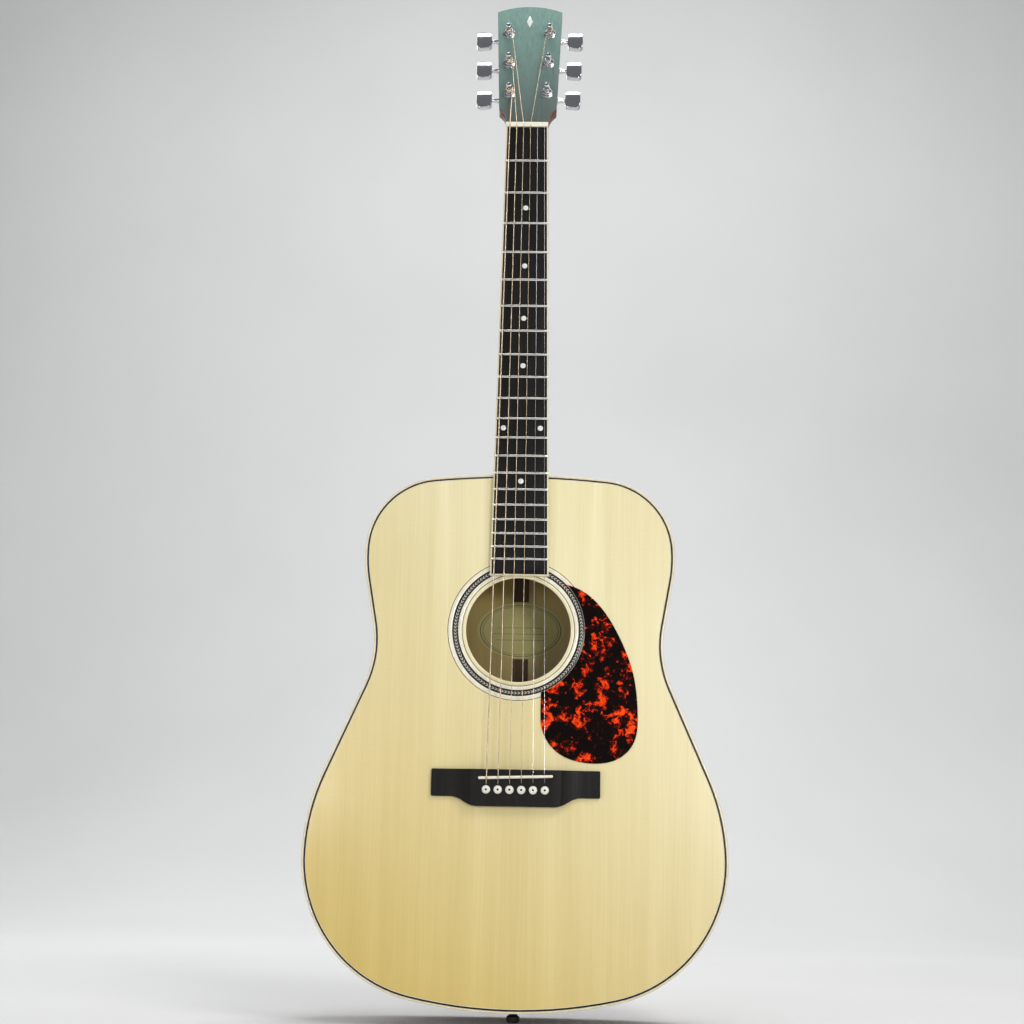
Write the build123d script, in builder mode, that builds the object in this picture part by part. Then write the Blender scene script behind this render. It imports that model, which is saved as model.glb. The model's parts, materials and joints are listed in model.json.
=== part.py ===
"""Six-string dreadnought acoustic guitar with a flat top, sound hole and geared tuning machines.

Frame: the guitar stands upright. X is to the right as an audience sees it, +Z runs up the neck and the
soundboard faces -Y. The origin is on the centre line at the tail end of the body, half way through its
depth. Sketches are drawn on planes parallel to the soundboard, where local x is X, local y is Z and the
normal points out of the front. Heights are measured from the soundboard's outer face, positive in front.
"""

from build123d import *
from math import asin, cos, degrees, pi, radians, sin, sqrt, tan
import os

# ---- driving dimensions, mm ------------------------------------------------------------------------------
SCALE = 647.7
BODY_JOIN_FRET = 14
FRET_COUNT = 20

BODY_LENGTH = 504.0
TAIL_DEPTH = 121.0
NECK_END_DEPTH = 99.0
BACK_DOME_RADIUS = 6000.0

# Half of the body outline is seven tangent arcs and two flank lines: (radius, degrees turned).
TAIL_ARC = (445.0, 12.4)
CORNER_ARC = (131.0, 79.4)
LOWER_BOUT_ARC = (198.5, 21.7)
SHOULDER_ARC = (829.0, 5.8)
UPPER_BOUT_ARC = (72.5, 80.0)
UPPER_FLANK_ARC = (131.5, 14.5)
WAIST_RADIUS = 102.0

TOP_THICKNESS = 2.8
BACK_THICKNESS = 2.8
SIDE_THICKNESS = 2.2
BINDING_HEIGHT = 6.0
PURFLING_WIDTHS = (1.5, 0.6)
PURFLING_DEPTH = 1.5
LINING_WIDTH = 6.0
LINING_TOE_WIDTH = 3.5
LINING_HEAD_DEPTH = 6.0
LINING_DEPTH = 14.0
GRAFT_WIDTH = 12.0

SOUNDHOLE_RADIUS = 50.0
SOUNDHOLE_TO_BODY_TOP = 151.8
ROSETTE_DEPTH = 1.2
ROSETTE_RADII = (53.4, 54.0, 57.4, 63.2, 67.0, 67.6)

NUT_WIDTH = 42.5
BOARD_END_WIDTH = 56.2
BOARD_PAST_LAST_FRET = 16.0
BOARD_THICKNESS = 6.5
BOARD_RADIUS = 508.0
BOARD_BINDING = 1.5
NUT_THICKNESS = 5.0
NUT_HEIGHT = 8.5
CROWN_WIDTH, CROWN_HEIGHT = 2.4, 1.1
TANG_WIDTH, TANG_DEPTH = 0.6, 1.8

NECK_DEPTH_AT_NUT = 14.5
HEEL_DEPTH = 95.5
HEEL_CAP_THICKNESS = 3.0

HEAD_TILT = 15.0
HEAD_THICKNESS = 12.5
HEADPLATE_THICKNESS = 2.0
HEAD_FLARE = (29.3, 21.0)
HEAD_CORNER = (34.0, 150.0)
HEAD_CROWN = 157.5

BRIDGE_HALF_WIDTH = 79.0
BRIDGE_TOP_EDGE = 220.0
BRIDGE_WING_EDGE = 194.7
BRIDGE_BELLY_EDGE = 186.0
BRIDGE_HEIGHT = 8.5
BRIDGE_WING_HEIGHT = 3.2
SADDLE_LENGTH, SADDLE_THICKNESS = 70.0, 2.6
SADDLE_SLOT_DEPTH = 6.0
STRING_REST_GAP = 0.2
SADDLE_COMPENSATION = 2.6
SADDLE_SLANT = -1.9
PIN_ROW = 201.2
PIN_SPACING = 10.95
PIN_SHANK_RADIUS = 2.6
PIN_HEAD_RADIUS = 3.9

SADDLE_STRING_SPACING = 10.8
NUT_STRING_SPACING = 7.0
STRING_HEIGHT_AT_NUT = 8.2
STRING_HEIGHT_AT_SADDLE = 11.8
STRING_NAMES = ("low_e", "a", "d", "g", "b", "high_e")
STRING_RADII = (0.68, 0.53, 0.41, 0.31, 0.20, 0.15)

POST_ROWS = ((19.2, 40.0), (20.3, 79.5), (21.4, 119.3))
POST_RADIUS = 3.0
POST_WAIST_RADIUS = 2.4
POST_TOP = 14.6
WINDING_HEIGHT = 7.8
BUSHING_RADIUS = 4.3
WASHER_RADIUS = 6.5
GEAR_MODULE, GEAR_TEETH = 0.6, 18
WORM_PITCH_RADIUS = 2.6
GEAR_LEVEL = -20.2
HOUSING_DEPTH = 11.0
RUNNING_CLEARANCE = 0.05

# ---- places worked out from the driving dimensions -------------------------------------------------------
FACE_Y = -TAIL_DEPTH / 2
SOUNDHOLE_Z = BODY_LENGTH - SOUNDHOLE_TO_BODY_TOP


def fret_distance(number):
    """Distance from the nut's front edge to a fret, by equal temperament."""
    return SCALE * (1 - 2 ** (-number / 12))


NUT_Z = BODY_LENGTH + fret_distance(BODY_JOIN_FRET)
BOARD_END_Z = NUT_Z - fret_distance(FRET_COUNT) - BOARD_PAST_LAST_FRET
SADDLE_Z = NUT_Z - SCALE - SADDLE_COMPENSATION
LINING_INSET = SIDE_THICKNESS + LINING_WIDTH
INSIDE = LINING_INSET + 0.3
GEAR_PITCH_RADIUS = GEAR_MODULE * GEAR_TEETH / 2
WORM_OFFSET = GEAR_PITCH_RADIUS + WORM_PITCH_RADIUS
WORM_LEAD = pi * GEAR_MODULE
HEAD_BACK = -(HEADPLATE_THICKNESS + HEAD_THICKNESS)


def front(height=0.0):
    """Plane parallel to the soundboard, this far in front of its outer face."""
    return Plane(origin=(0, FACE_Y - height, 0), x_dir=(1, 0, 0), z_dir=(0, -1, 0))


# The headplate's face starts at the nut's back edge, level with the neck's top face plus the plate.
HEAD_ORIGIN = Vector(0, FACE_Y - HEADPLATE_THICKNESS / cos(radians(HEAD_TILT)), NUT_Z + NUT_THICKNESS)


def head(height=0.0):
    """Plane parallel to the headplate's face: local x is X, local y runs up the headstock."""
    lean = radians(HEAD_TILT)
    normal = Vector(0, -cos(lean), sin(lean))
    return Plane(origin=HEAD_ORIGIN + normal * height, x_dir=(1, 0, 0), z_dir=normal)


def board_half_width(z):
    """Half of the fingerboard's width, binding included, at a height z up the neck."""
    share = (NUT_Z - z) / (NUT_Z - BOARD_END_Z)
    return (NUT_WIDTH + share * (BOARD_END_WIDTH - NUT_WIDTH)) / 2


# ---- outlines --------------------------------------------------------------------------------------------
def body_outline(inset=0.0):
    """Face bounded by the body's outline, drawn this far inside it."""
    with BuildSketch() as face:
        with BuildLine():
            tail = JernArc((0, inset), (1, 0), TAIL_ARC[0] - inset, TAIL_ARC[1])
            corner = JernArc(tail @ 1, tail % 1, CORNER_ARC[0] - inset, CORNER_ARC[1])
            lower = JernArc(corner @ 1, corner % 1, LOWER_BOUT_ARC[0] - inset, LOWER_BOUT_ARC[1])
            shoulder = JernArc((0, BODY_LENGTH - inset), (1, 0), SHOULDER_ARC[0] - inset, -SHOULDER_ARC[1])
            upper = JernArc(shoulder @ 1, shoulder % 1, UPPER_BOUT_ARC[0] - inset, -UPPER_BOUT_ARC[1])
            flank = JernArc(upper @ 1, upper % 1, UPPER_FLANK_ARC[0] - inset, -UPPER_FLANK_ARC[1])
            low, low_way, high, high_way = lower @ 1, lower % 1, flank @ 1, flank % 1
            run = (high - low).cross(high_way).Z / low_way.cross(high_way).Z
            FilletPolyline(low, low + low_way * run, high, radius=WAIST_RADIUS + inset)
            mirror(about=Plane.YZ)
        make_face()
    return face.sketch


def board_outline(inset=0.0):
    """The fingerboard's tapered plan, drawn this far inside its sides and its sound hole end."""
    bottom = BOARD_END_Z + inset
    low, high = board_half_width(bottom) - inset, board_half_width(NUT_Z) - inset
    with BuildSketch() as face:
        Polygon((-low, bottom), (low, bottom), (high, NUT_Z), (-high, NUT_Z), align=None)
    return face.sketch


def head_outline():
    """The headstock's plan from the nut's back edge: concave flares, straight sides and a low crown."""
    neck_side = board_half_width(NUT_Z)
    with BuildSketch() as face:
        with BuildLine():
            stem = Line((neck_side, 0), (neck_side, 4))
            flare = TangentArc(stem @ 1, HEAD_FLARE, tangent=(0, 1))
            side = Line(flare @ 1, HEAD_CORNER)
            ThreePointArc(side @ 1, (0, HEAD_CROWN), (-HEAD_CORNER[0], HEAD_CORNER[1]))
            Line((0, 0), (neck_side, 0))
            mirror(stem, about=Plane.YZ)
            mirror(flare, about=Plane.YZ)
            mirror(side, about=Plane.YZ)
            Line((0, 0), (-neck_side, 0))
        make_face()
    return face.sketch


def dome(inset=0.0):
    """Ball whose skin is the back's outer face, through the rim at both ends, less this inset."""
    tail = Vector(0, FACE_Y + TAIL_DEPTH, 0)
    top = Vector(0, FACE_Y + NECK_END_DEPTH, BODY_LENGTH)
    chord = top - tail
    forward = Vector(0, -chord.Z, chord.Y).normalized()
    centre = (tail + top) / 2 + forward * sqrt(BACK_DOME_RADIUS**2 - (chord.length / 2) ** 2)
    with BuildPart() as ball:
        with Locations(centre):
            Sphere(BACK_DOME_RADIUS - inset)
    return ball.part


def save(piece, name):
    """Labels a finished piece and writes it as one STEP file."""
    piece.label = name
    export_step(piece, f"parts/{name}.step")


os.makedirs("parts", exist_ok=True)
ACROSS_BODY = 2 * TAIL_DEPTH

# ---- strings' lines, needed by every piece that a string passes through ----------------------------------
def head_point(x, s, height):
    """Point in the guitar's frame from the headstock's own x, distance up it and height over its face."""
    return head(height).from_local_coords(Vector(x, s, 0))


def body_point(x, z, height):
    """Point in the guitar's frame from x, z and height in front of the soundboard."""
    return Vector(x, FACE_Y - height, z)


def post_place(number):
    """(x, distance up the headstock) of the post that holds a string; rows 0 to 2 count up from the nut."""
    row = number if number < 3 else 5 - number
    x, s = POST_ROWS[row]
    return (-x if number < 3 else x), s


def string_route(number):
    """Corners of a string's centre line from its ball end, over the saddle and the nut, to its post."""
    radius = STRING_RADII[number]
    step = number - 2.5
    pin_x = step * PIN_SPACING
    saddle_x = step * SADDLE_STRING_SPACING
    nut_x = step * NUT_STRING_SPACING
    saddle_z = SADDLE_Z - saddle_x * tan(radians(SADDLE_SLANT))
    groove_z = PIN_ROW + PIN_SHANK_RADIUS
    nut_point = body_point(nut_x, NUT_Z + 1.5, STRING_HEIGHT_AT_NUT + radius)
    post_x, post_s = post_place(number)
    around = POST_WAIST_RADIUS + radius + 0.1
    seen = head(0).to_local_coords(nut_point)
    away = Vector(post_x - seen.X, post_s - seen.Y)
    side = 1 if number < 3 else -1
    lean = side * asin(around / away.length)
    tangent = away.rotate(Axis.Z, -degrees(lean)) * cos(lean)
    end = head_point(seen.X + tangent.X, seen.Y + tangent.Y, WINDING_HEIGHT)
    return [
        body_point(pin_x, groove_z, -TOP_THICKNESS - 5.0),
        body_point(pin_x, groove_z, 5.8),
        body_point(saddle_x, saddle_z, STRING_HEIGHT_AT_SADDLE + radius),
        nut_point,
        end,
    ]


def string_tunnels(clearance, first, last):
    """Round clearance ways along runs first to last of all six strings, with balls at their corners."""
    with BuildPart() as ways:
        for number, radius in enumerate(STRING_RADII):
            route = string_route(number)
            for start, stop in zip(route[first:last], route[first + 1 : last + 1]):
                along = Plane(origin=start, z_dir=stop - start)
                with BuildSketch(along):
                    Circle(radius + clearance)
                extrude(amount=(stop - start).length)
            with Locations(*route[first : last + 1]):
                Sphere(radius + clearance)
    return ways.part


# ---- body box --------------------------------------------------------------------------------------------
def ring(outer, inner, start, depth):
    """Band that follows the body's outline between two insets, from a height start, depth mm backwards."""
    with BuildPart() as band:
        with BuildSketch(front(start)):
            add(body_outline(outer))
            add(body_outline(inner), mode=Mode.SUBTRACT)
        extrude(amount=-depth)
    return band.part


DOVETAIL_LENGTH = 18.0
DOVETAIL_DEPTH = 74.0


def dovetail(clearance=0.0):
    """The neck's tapered tenon, wider inside the body than at its face."""
    root = BODY_LENGTH + 2
    tip = BODY_LENGTH - DOVETAIL_LENGTH - clearance
    with BuildPart() as tenon:
        with BuildSketch(front(0)):
            Polygon(
                (-12 - clearance, root),
                (12 + clearance, root),
                (16 + clearance, tip),
                (-16 - clearance, tip),
                align=None,
            )
        extrude(amount=-DOVETAIL_DEPTH)
    return tenon.part


TRUSS_HALF_WIDTH = 3.2
TRUSS_DEPTH = 10.0
TRUSS_TOP_Z = NUT_Z - 12.0
TRUSS_NUT_RADIUS = 4.0
TRUSS_AXIS = -5.0


def truss_channel():
    """Slot in the neck's top and a bore through the neck block, which hold the truss rod and its nut."""
    with BuildPart() as channel:
        with BuildSketch(front(0)):
            with Locations((0, (TRUSS_TOP_Z + BODY_LENGTH - DOVETAIL_LENGTH) / 2)):
                Rectangle(2 * TRUSS_HALF_WIDTH, TRUSS_TOP_Z - BODY_LENGTH + DOVETAIL_LENGTH)
        extrude(amount=-TRUSS_DEPTH)
        with BuildSketch(Plane(origin=body_point(0, 440, TRUSS_AXIS - 2), z_dir=(0, 0, 1))):
            Circle(TRUSS_NUT_RADIUS + 1.0)
        extrude(amount=BODY_LENGTH - DOVETAIL_LENGTH - 440)
    return channel.part


BLOCK_HALF_WIDTH = 45.0
BLOCK_LENGTH = 52.0
TAIL_BLOCK_HALF_WIDTH = 42.0
TAIL_BLOCK_LENGTH = 20.0


def block(half_width, near, far):
    """Wood block between the top and the back, shaped to the inside of the sides."""
    with BuildPart() as wood:
        with BuildSketch(front(-TOP_THICKNESS)):
            add(body_outline(SIDE_THICKNESS))
            with Locations((0, (near + far) / 2)):
                Rectangle(2 * half_width, far - near, mode=Mode.INTERSECT)
        extrude(amount=-ACROSS_BODY)
        add(dome(BACK_THICKNESS), mode=Mode.INTERSECT)
    return wood.part


END_PIN_SHANK = 4.5


def end_pin_hole():
    """Hole for the end pin's shank through the tail graft and the tail block."""
    with BuildPart() as hole:
        with BuildSketch(Plane(origin=(0, 0, -1), z_dir=(0, 0, 1))):
            Circle(END_PIN_SHANK)
        extrude(amount=TAIL_BLOCK_LENGTH + 4)
    return hole.part


graft_region = Box(GRAFT_WIDTH, ACROSS_BODY, 2 * SIDE_THICKNESS + 4, mode=Mode.PRIVATE)

with BuildPart() as soundboard:
    with BuildSketch(front()):
        add(body_outline(SIDE_THICKNESS))
        with Locations((0, SOUNDHOLE_Z)):
            Circle(SOUNDHOLE_RADIUS, mode=Mode.SUBTRACT)
    extrude(amount=-TOP_THICKNESS)
    ledge = ring(SIDE_THICKNESS - 1, SIDE_THICKNESS + sum(PURFLING_WIDTHS), 0, PURFLING_DEPTH)
    add(ledge, mode=Mode.SUBTRACT)
    with BuildSketch(front()):
        with Locations((0, SOUNDHOLE_Z)):
            Circle(ROSETTE_RADII[-1])
            Circle(ROSETTE_RADII[0], mode=Mode.SUBTRACT)
    extrude(amount=-ROSETTE_DEPTH, mode=Mode.SUBTRACT)
    add(dovetail(), mode=Mode.SUBTRACT)
    with BuildSketch(front()):
        with Locations(*[((n - 2.5) * PIN_SPACING, PIN_ROW) for n in range(6)]):
            Circle(PIN_SHANK_RADIUS)
    extrude(amount=-TOP_THICKNESS, mode=Mode.SUBTRACT)
    add(string_tunnels(0.1, 0, 1), mode=Mode.SUBTRACT)
save(soundboard.part, "soundboard")

INLAY_HALF_WIDTH = 3.0
INLAY_DEPTH = 1.4

with BuildPart() as back_inlay_strip:
    with BuildSketch(front()):
        with Locations((0, BODY_LENGTH / 2)):
            Rectangle(2 * INLAY_HALF_WIDTH, BODY_LENGTH - 2 * SIDE_THICKNESS - 2)
    extrude(amount=-ACROSS_BODY)
    add(dome(), mode=Mode.INTERSECT)
    add(dome(INLAY_DEPTH), mode=Mode.SUBTRACT)
save(back_inlay_strip.part, "back_inlay_strip")

with BuildPart() as back_plate:
    with BuildSketch(front()):
        add(body_outline(SIDE_THICKNESS))
    extrude(amount=-ACROSS_BODY)
    add(dome(), mode=Mode.INTERSECT)
    add(dome(BACK_THICKNESS), mode=Mode.SUBTRACT)
    add(back_inlay_strip.part, mode=Mode.SUBTRACT)
save(back_plate.part, "back_plate")

with BuildPart() as sides:
    add(ring(0, SIDE_THICKNESS, -BINDING_HEIGHT, ACROSS_BODY))
    add(dome(BINDING_HEIGHT), mode=Mode.INTERSECT)
    add(dovetail(), mode=Mode.SUBTRACT)
    add(graft_region, mode=Mode.SUBTRACT)
    Box(0.02, ACROSS_BODY, 3 * BODY_LENGTH, mode=Mode.SUBTRACT)
for name, keep in (("bass_side", Keep.BOTTOM), ("treble_side", Keep.TOP)):
    with BuildPart() as side:
        add(sides.part)
        split(bisect_by=Plane.YZ, keep=keep)
    save(side.part, name)

with BuildPart() as tail_graft:
    add(ring(0, SIDE_THICKNESS, -BINDING_HEIGHT, ACROSS_BODY))
    add(dome(BINDING_HEIGHT), mode=Mode.INTERSECT)
    add(graft_region, mode=Mode.INTERSECT)
    add(end_pin_hole(), mode=Mode.SUBTRACT)
save(tail_graft.part, "tail_graft")

with BuildPart() as top_binding:
    add(ring(0, SIDE_THICKNESS, 0, BINDING_HEIGHT))
    add(dovetail(), mode=Mode.SUBTRACT)
save(top_binding.part, "top_binding")

with BuildPart() as top_purfling:
    edge = SIDE_THICKNESS + PURFLING_WIDTHS[0]
    add(ring(SIDE_THICKNESS, edge - 0.01, 0, PURFLING_DEPTH))
    add(ring(edge + 0.01, SIDE_THICKNESS + sum(PURFLING_WIDTHS), 0, PURFLING_DEPTH))
    add(dovetail(), mode=Mode.SUBTRACT)
save(top_purfling.part, "top_purfling")

with BuildPart() as back_binding:
    add(ring(0, SIDE_THICKNESS, 0, ACROSS_BODY))
    add(dome(), mode=Mode.INTERSECT)
    add(dome(BINDING_HEIGHT), mode=Mode.SUBTRACT)
save(back_binding.part, "back_binding")

with BuildPart() as neck_block:
    add(block(BLOCK_HALF_WIDTH, BODY_LENGTH - BLOCK_LENGTH, BODY_LENGTH))
    add(dovetail(), mode=Mode.SUBTRACT)
    add(truss_channel(), mode=Mode.SUBTRACT)
save(neck_block.part, "neck_block")

with BuildPart() as tail_block:
    add(block(TAIL_BLOCK_HALF_WIDTH, 0, TAIL_BLOCK_LENGTH))
    add(end_pin_hole(), mode=Mode.SUBTRACT)
save(tail_block.part, "tail_block")

block_space = Box(2 * BLOCK_HALF_WIDTH, ACROSS_BODY, 2 * BLOCK_LENGTH, mode=Mode.PRIVATE)
tail_space = Box(2 * TAIL_BLOCK_HALF_WIDTH, ACROSS_BODY, 2 * TAIL_BLOCK_LENGTH, mode=Mode.PRIVATE)

with BuildPart() as top_linings:
    add(ring(SIDE_THICKNESS, LINING_INSET, -TOP_THICKNESS, LINING_HEAD_DEPTH))
    add(ring(SIDE_THICKNESS, SIDE_THICKNESS + LINING_TOE_WIDTH, -TOP_THICKNESS, LINING_DEPTH))
    add(Pos(0, 0, BODY_LENGTH) * block_space, mode=Mode.SUBTRACT)
    add(tail_space, mode=Mode.SUBTRACT)
save(top_linings.part, "top_linings")

with BuildPart() as back_linings:
    add(ring(SIDE_THICKNESS, LINING_INSET, 0, ACROSS_BODY))
    add(dome(BACK_THICKNESS), mode=Mode.INTERSECT)
    add(dome(BACK_THICKNESS + LINING_DEPTH), mode=Mode.SUBTRACT)
    with BuildPart(mode=Mode.PRIVATE) as relief:
        add(ring(SIDE_THICKNESS + LINING_TOE_WIDTH, LINING_INSET + 1, 0, ACROSS_BODY))
        add(dome(BACK_THICKNESS + LINING_HEAD_DEPTH), mode=Mode.INTERSECT)
    add(relief.part, mode=Mode.SUBTRACT)
    add(Pos(0, 0, BODY_LENGTH) * block_space, mode=Mode.SUBTRACT)
    add(tail_space, mode=Mode.SUBTRACT)
save(back_linings.part, "back_linings")

# ---- braces and the other wood glued inside the box ------------------------------------------------------
TOP_INNER = front(-TOP_THICKNESS)
BACK_BRACE_ROWS = (88.0, 190.0, 298.0, 428.0)
X_CROSSING = 276.0
TRANSVERSE_ROW = 427.0
PLATE_THICKNESS = 2.5


def top_bar(start, end, width, height, tip=2.5, taper=22.0):
    """Brace glued under the top between two (x, z) points, planed thin towards both tips."""
    run = Vector(end[0] - start[0], 0, end[1] - start[1])
    length = run.length
    along = run.normalized()
    base = Plane(
        origin=body_point(start[0], start[1], -TOP_THICKNESS),
        x_dir=along,
        z_dir=Vector(-along.Z, 0, along.X),
    )
    with BuildPart() as bar:
        with BuildSketch(base):
            Polygon(
                (0, 0),
                (length, 0),
                (length, tip),
                (length - taper, height),
                (taper, height),
                (0, tip),
                align=None,
            )
        extrude(amount=width / 2, both=True)
        with BuildSketch(front()):
            add(body_outline(INSIDE))
        extrude(amount=-ACROSS_BODY, mode=Mode.INTERSECT)
    return bar.part


def back_bar(z, width, height):
    """Brace glued across the back's inner face at a height z."""
    with BuildPart() as bar:
        with BuildSketch(front()):
            add(body_outline(INSIDE))
            with Locations((0, z)):
                Rectangle(500, width, mode=Mode.INTERSECT)
        extrude(amount=-ACROSS_BODY)
        add(dome(BACK_THICKNESS), mode=Mode.INTERSECT)
        add(dome(BACK_THICKNESS + height), mode=Mode.SUBTRACT)
    return bar.part


with BuildPart() as x_braces:
    half_lap = Box(13, 30, 13, mode=Mode.PRIVATE)
    for side in (-1, 1):
        with BuildPart() as leg:
            add(top_bar((side * 170, 132.2), (-side * 132, 387.7), 8, 14, taper=60))
            level = -TOP_THICKNESS - 7 + side * 14.98
            add(Pos(0, FACE_Y - level, X_CROSSING) * half_lap, mode=Mode.SUBTRACT)
        add(leg.part)
save(x_braces.part, "x_braces")

with BuildPart() as transverse_brace:
    add(top_bar((-150, TRANSVERSE_ROW), (150, TRANSVERSE_ROW), 9, 14))
    with BuildSketch(Plane(origin=body_point(0, TRANSVERSE_ROW - 8, -7), z_dir=(0, 0, 1))):
        Circle(TRUSS_NUT_RADIUS)
    extrude(amount=16, mode=Mode.SUBTRACT)
save(transverse_brace.part, "transverse_brace")

with BuildPart() as small_braces:
    add(top_bar((-100, 168), (72, 74), 7, 11, taper=40))
    add(top_bar((-136, 130), (16, 42), 7, 11, taper=40))
    for side in (-1, 1):
        add(top_bar((side * 84, 322), (side * 128, 307), 6, 8))
        add(top_bar((side * 76, 237), (side * 150, 226), 6, 8))
        add(top_bar((side * 123, 194), (side * 176, 176), 6, 8))
save(small_braces.part, "small_braces")

with BuildPart() as bridge_plate:
    with BuildSketch(TOP_INNER):
        Polygon((-60, 216), (60, 216), (78, 184), (-78, 184), align=None)
        with Locations(*[((n - 2.5) * PIN_SPACING, PIN_ROW) for n in range(6)]):
            Circle(PIN_SHANK_RADIUS, mode=Mode.SUBTRACT)
    extrude(amount=-PLATE_THICKNESS)
    add(string_tunnels(0.1, 0, 1), mode=Mode.SUBTRACT)
save(bridge_plate.part, "bridge_plate")

with BuildPart() as back_braces:
    for z in BACK_BRACE_ROWS:
        add(back_bar(z, 8, 12 if z < 250 else 15))
save(back_braces.part, "back_braces")

LABEL_LENGTH, LABEL_HEIGHT = 88.0, 56.0
LABEL_Z = SOUNDHOLE_Z + 13.0
STRIP_HALF_WIDTH = 8.0

with BuildPart() as back_seam_strips:
    edges = [TAIL_BLOCK_LENGTH, *BACK_BRACE_ROWS, BODY_LENGTH - BLOCK_LENGTH]
    for low, high in zip(edges, edges[1:]):
        add(back_bar((low + high) / 2, high - low - 9, 2.0))
    with BuildSketch(front()):
        with Locations((0, BODY_LENGTH / 2)):
            Rectangle(2 * STRIP_HALF_WIDTH, BODY_LENGTH)
        with Locations((0, LABEL_Z)):
            Rectangle(40, LABEL_HEIGHT + 2, mode=Mode.SUBTRACT)
    extrude(amount=-ACROSS_BODY, mode=Mode.INTERSECT)
save(back_seam_strips.part, "back_seam_strips")

with BuildPart() as label:
    with BuildSketch(front()):
        with Locations((0, LABEL_Z)):
            Ellipse(LABEL_LENGTH / 2, LABEL_HEIGHT / 2)
    extrude(amount=-ACROSS_BODY)
    add(dome(BACK_THICKNESS), mode=Mode.INTERSECT)
    add(dome(BACK_THICKNESS + 0.3), mode=Mode.SUBTRACT)
save(label.part, "label")

# ---- trim on the soundboard ------------------------------------------------------------------------------
def rosette_ring(inner, outer):
    """Flush ring around the sound hole between two radii."""
    with BuildPart() as band:
        with BuildSketch(front()):
            with Locations((0, SOUNDHOLE_Z)):
                Circle(outer)
                Circle(inner, mode=Mode.SUBTRACT)
        extrude(amount=-ROSETTE_DEPTH)
    return band.part


line_in, band_in, rope_in, rope_out, band_out, line_out = ROSETTE_RADII

with BuildPart() as rosette_lines:
    add(rosette_ring(line_in, band_in))
    add(rosette_ring(band_out, line_out))
save(rosette_lines.part, "rosette_lines")

with BuildPart() as rosette_bands:
    add(rosette_ring(band_in, rope_in))
    add(rosette_ring(rope_out, band_out))
save(rosette_bands.part, "rosette_bands")

with BuildPart() as rosette_rope:
    add(rosette_ring(rope_in, rope_out))
save(rosette_rope.part, "rosette_rope")

PICKGUARD_THICKNESS = 0.8
PICKGUARD_INNER_RADIUS = rope_out + 0.2

with BuildPart() as pickguard:
    with BuildSketch(front()):
        with BuildLine():
            inner_side = Line((22.3, SOUNDHOLE_Z - 52.0), (22.3, 270.0))
            rim = Spline(
                inner_side @ 1,
                (24.2, 257.0),
                (36.1, 238.8),
                (70.6, 227.0),
                (95.2, 231.6),
                (108.7, 244.1),
                (113.8, 275.0),
                (108.6, 315.0),
                (97.3, 344.2),
                (82.0, 370.3),
                (63.6, 388.5),
                (44.6, 396.5),
                (24.0, 397.5),
            )
            Line(rim @ 1, inner_side @ 0)
        make_face()
        with Locations((0, SOUNDHOLE_Z)):
            Circle(PICKGUARD_INNER_RADIUS, mode=Mode.SUBTRACT)
    extrude(amount=PICKGUARD_THICKNESS)
save(pickguard.part, "pickguard")

# ---- bridge, saddle and pins -----------------------------------------------------------------------------
def bridge_outline():
    """Straight top edge, level wings and a belly joined to them by two reversed curves."""
    wing_corner = 1.2
    with BuildSketch() as face:
        with BuildLine():
            start = Line((0, BRIDGE_TOP_EDGE), (BRIDGE_HALF_WIDTH, BRIDGE_TOP_EDGE))
            end = Line(start @ 1, (BRIDGE_HALF_WIDTH, BRIDGE_WING_EDGE))
            wing = Line(end @ 1, (62, BRIDGE_WING_EDGE))
            sweep_in = Spline(
                wing @ 1,
                (49, (BRIDGE_WING_EDGE + BRIDGE_BELLY_EDGE) / 2),
                (36, BRIDGE_BELLY_EDGE),
                tangents=((-1, 0), (-1, 0)),
            )
            belly = Line(sweep_in @ 1, (0, BRIDGE_BELLY_EDGE))
            mirror(about=Plane.YZ)
        make_face()
        fillet(face.vertices().filter_by_position(Axis.X, 78, 80), wing_corner)
        fillet(face.vertices().filter_by_position(Axis.X, -80, -78), wing_corner)
    return face.sketch


def saddle_slot(length, width, bottom, top):
    """Upright bar along the saddle's slanted line, between two heights."""
    with BuildPart() as bar:
        with BuildSketch(front(bottom)):
            with Locations(Location((0, SADDLE_Z), SADDLE_SLANT * -1)):
                SlotOverall(length, width)
        extrude(amount=top - bottom)
    return bar.part


SCOOP_START = 41.0
SCOOP_RADIUS = 60.0

with BuildPart() as bridge:
    with BuildSketch(front()):
        add(bridge_outline())
    extrude(amount=BRIDGE_HEIGHT)
    scoop_drop = BRIDGE_HEIGHT - BRIDGE_WING_HEIGHT
    with BuildSketch(Plane(origin=(0, FACE_Y, 160), x_dir=(1, 0, 0), z_dir=(0, 0, 1))):
        for side in (-1, 1):
            with BuildLine():
                sweep_run = sqrt(SCOOP_RADIUS**2 - (SCOOP_RADIUS - scoop_drop) ** 2)
                low = (side * (SCOOP_START + sweep_run), -BRIDGE_WING_HEIGHT)
                high = (side * SCOOP_START, -BRIDGE_HEIGHT)
                RadiusArc(high, low, side * SCOOP_RADIUS)
                Line(low, (side * 90, -BRIDGE_WING_HEIGHT))
                Line((side * 90, -BRIDGE_WING_HEIGHT), (side * 90, -20))
                Line((side * 90, -20), (side * SCOOP_START, -20))
                Line((side * SCOOP_START, -20), high)
            make_face()
    extrude(amount=80, mode=Mode.SUBTRACT)
    slot = saddle_slot(SADDLE_LENGTH, SADDLE_THICKNESS, BRIDGE_HEIGHT - SADDLE_SLOT_DEPTH, 30)
    add(slot, mode=Mode.SUBTRACT)
    with BuildSketch(front()):
        with Locations(*[((n - 2.5) * PIN_SPACING, PIN_ROW) for n in range(6)]):
            Circle(PIN_SHANK_RADIUS)
    extrude(amount=BRIDGE_HEIGHT, mode=Mode.SUBTRACT)
    add(string_tunnels(0.15, 0, 2), mode=Mode.SUBTRACT)
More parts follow.
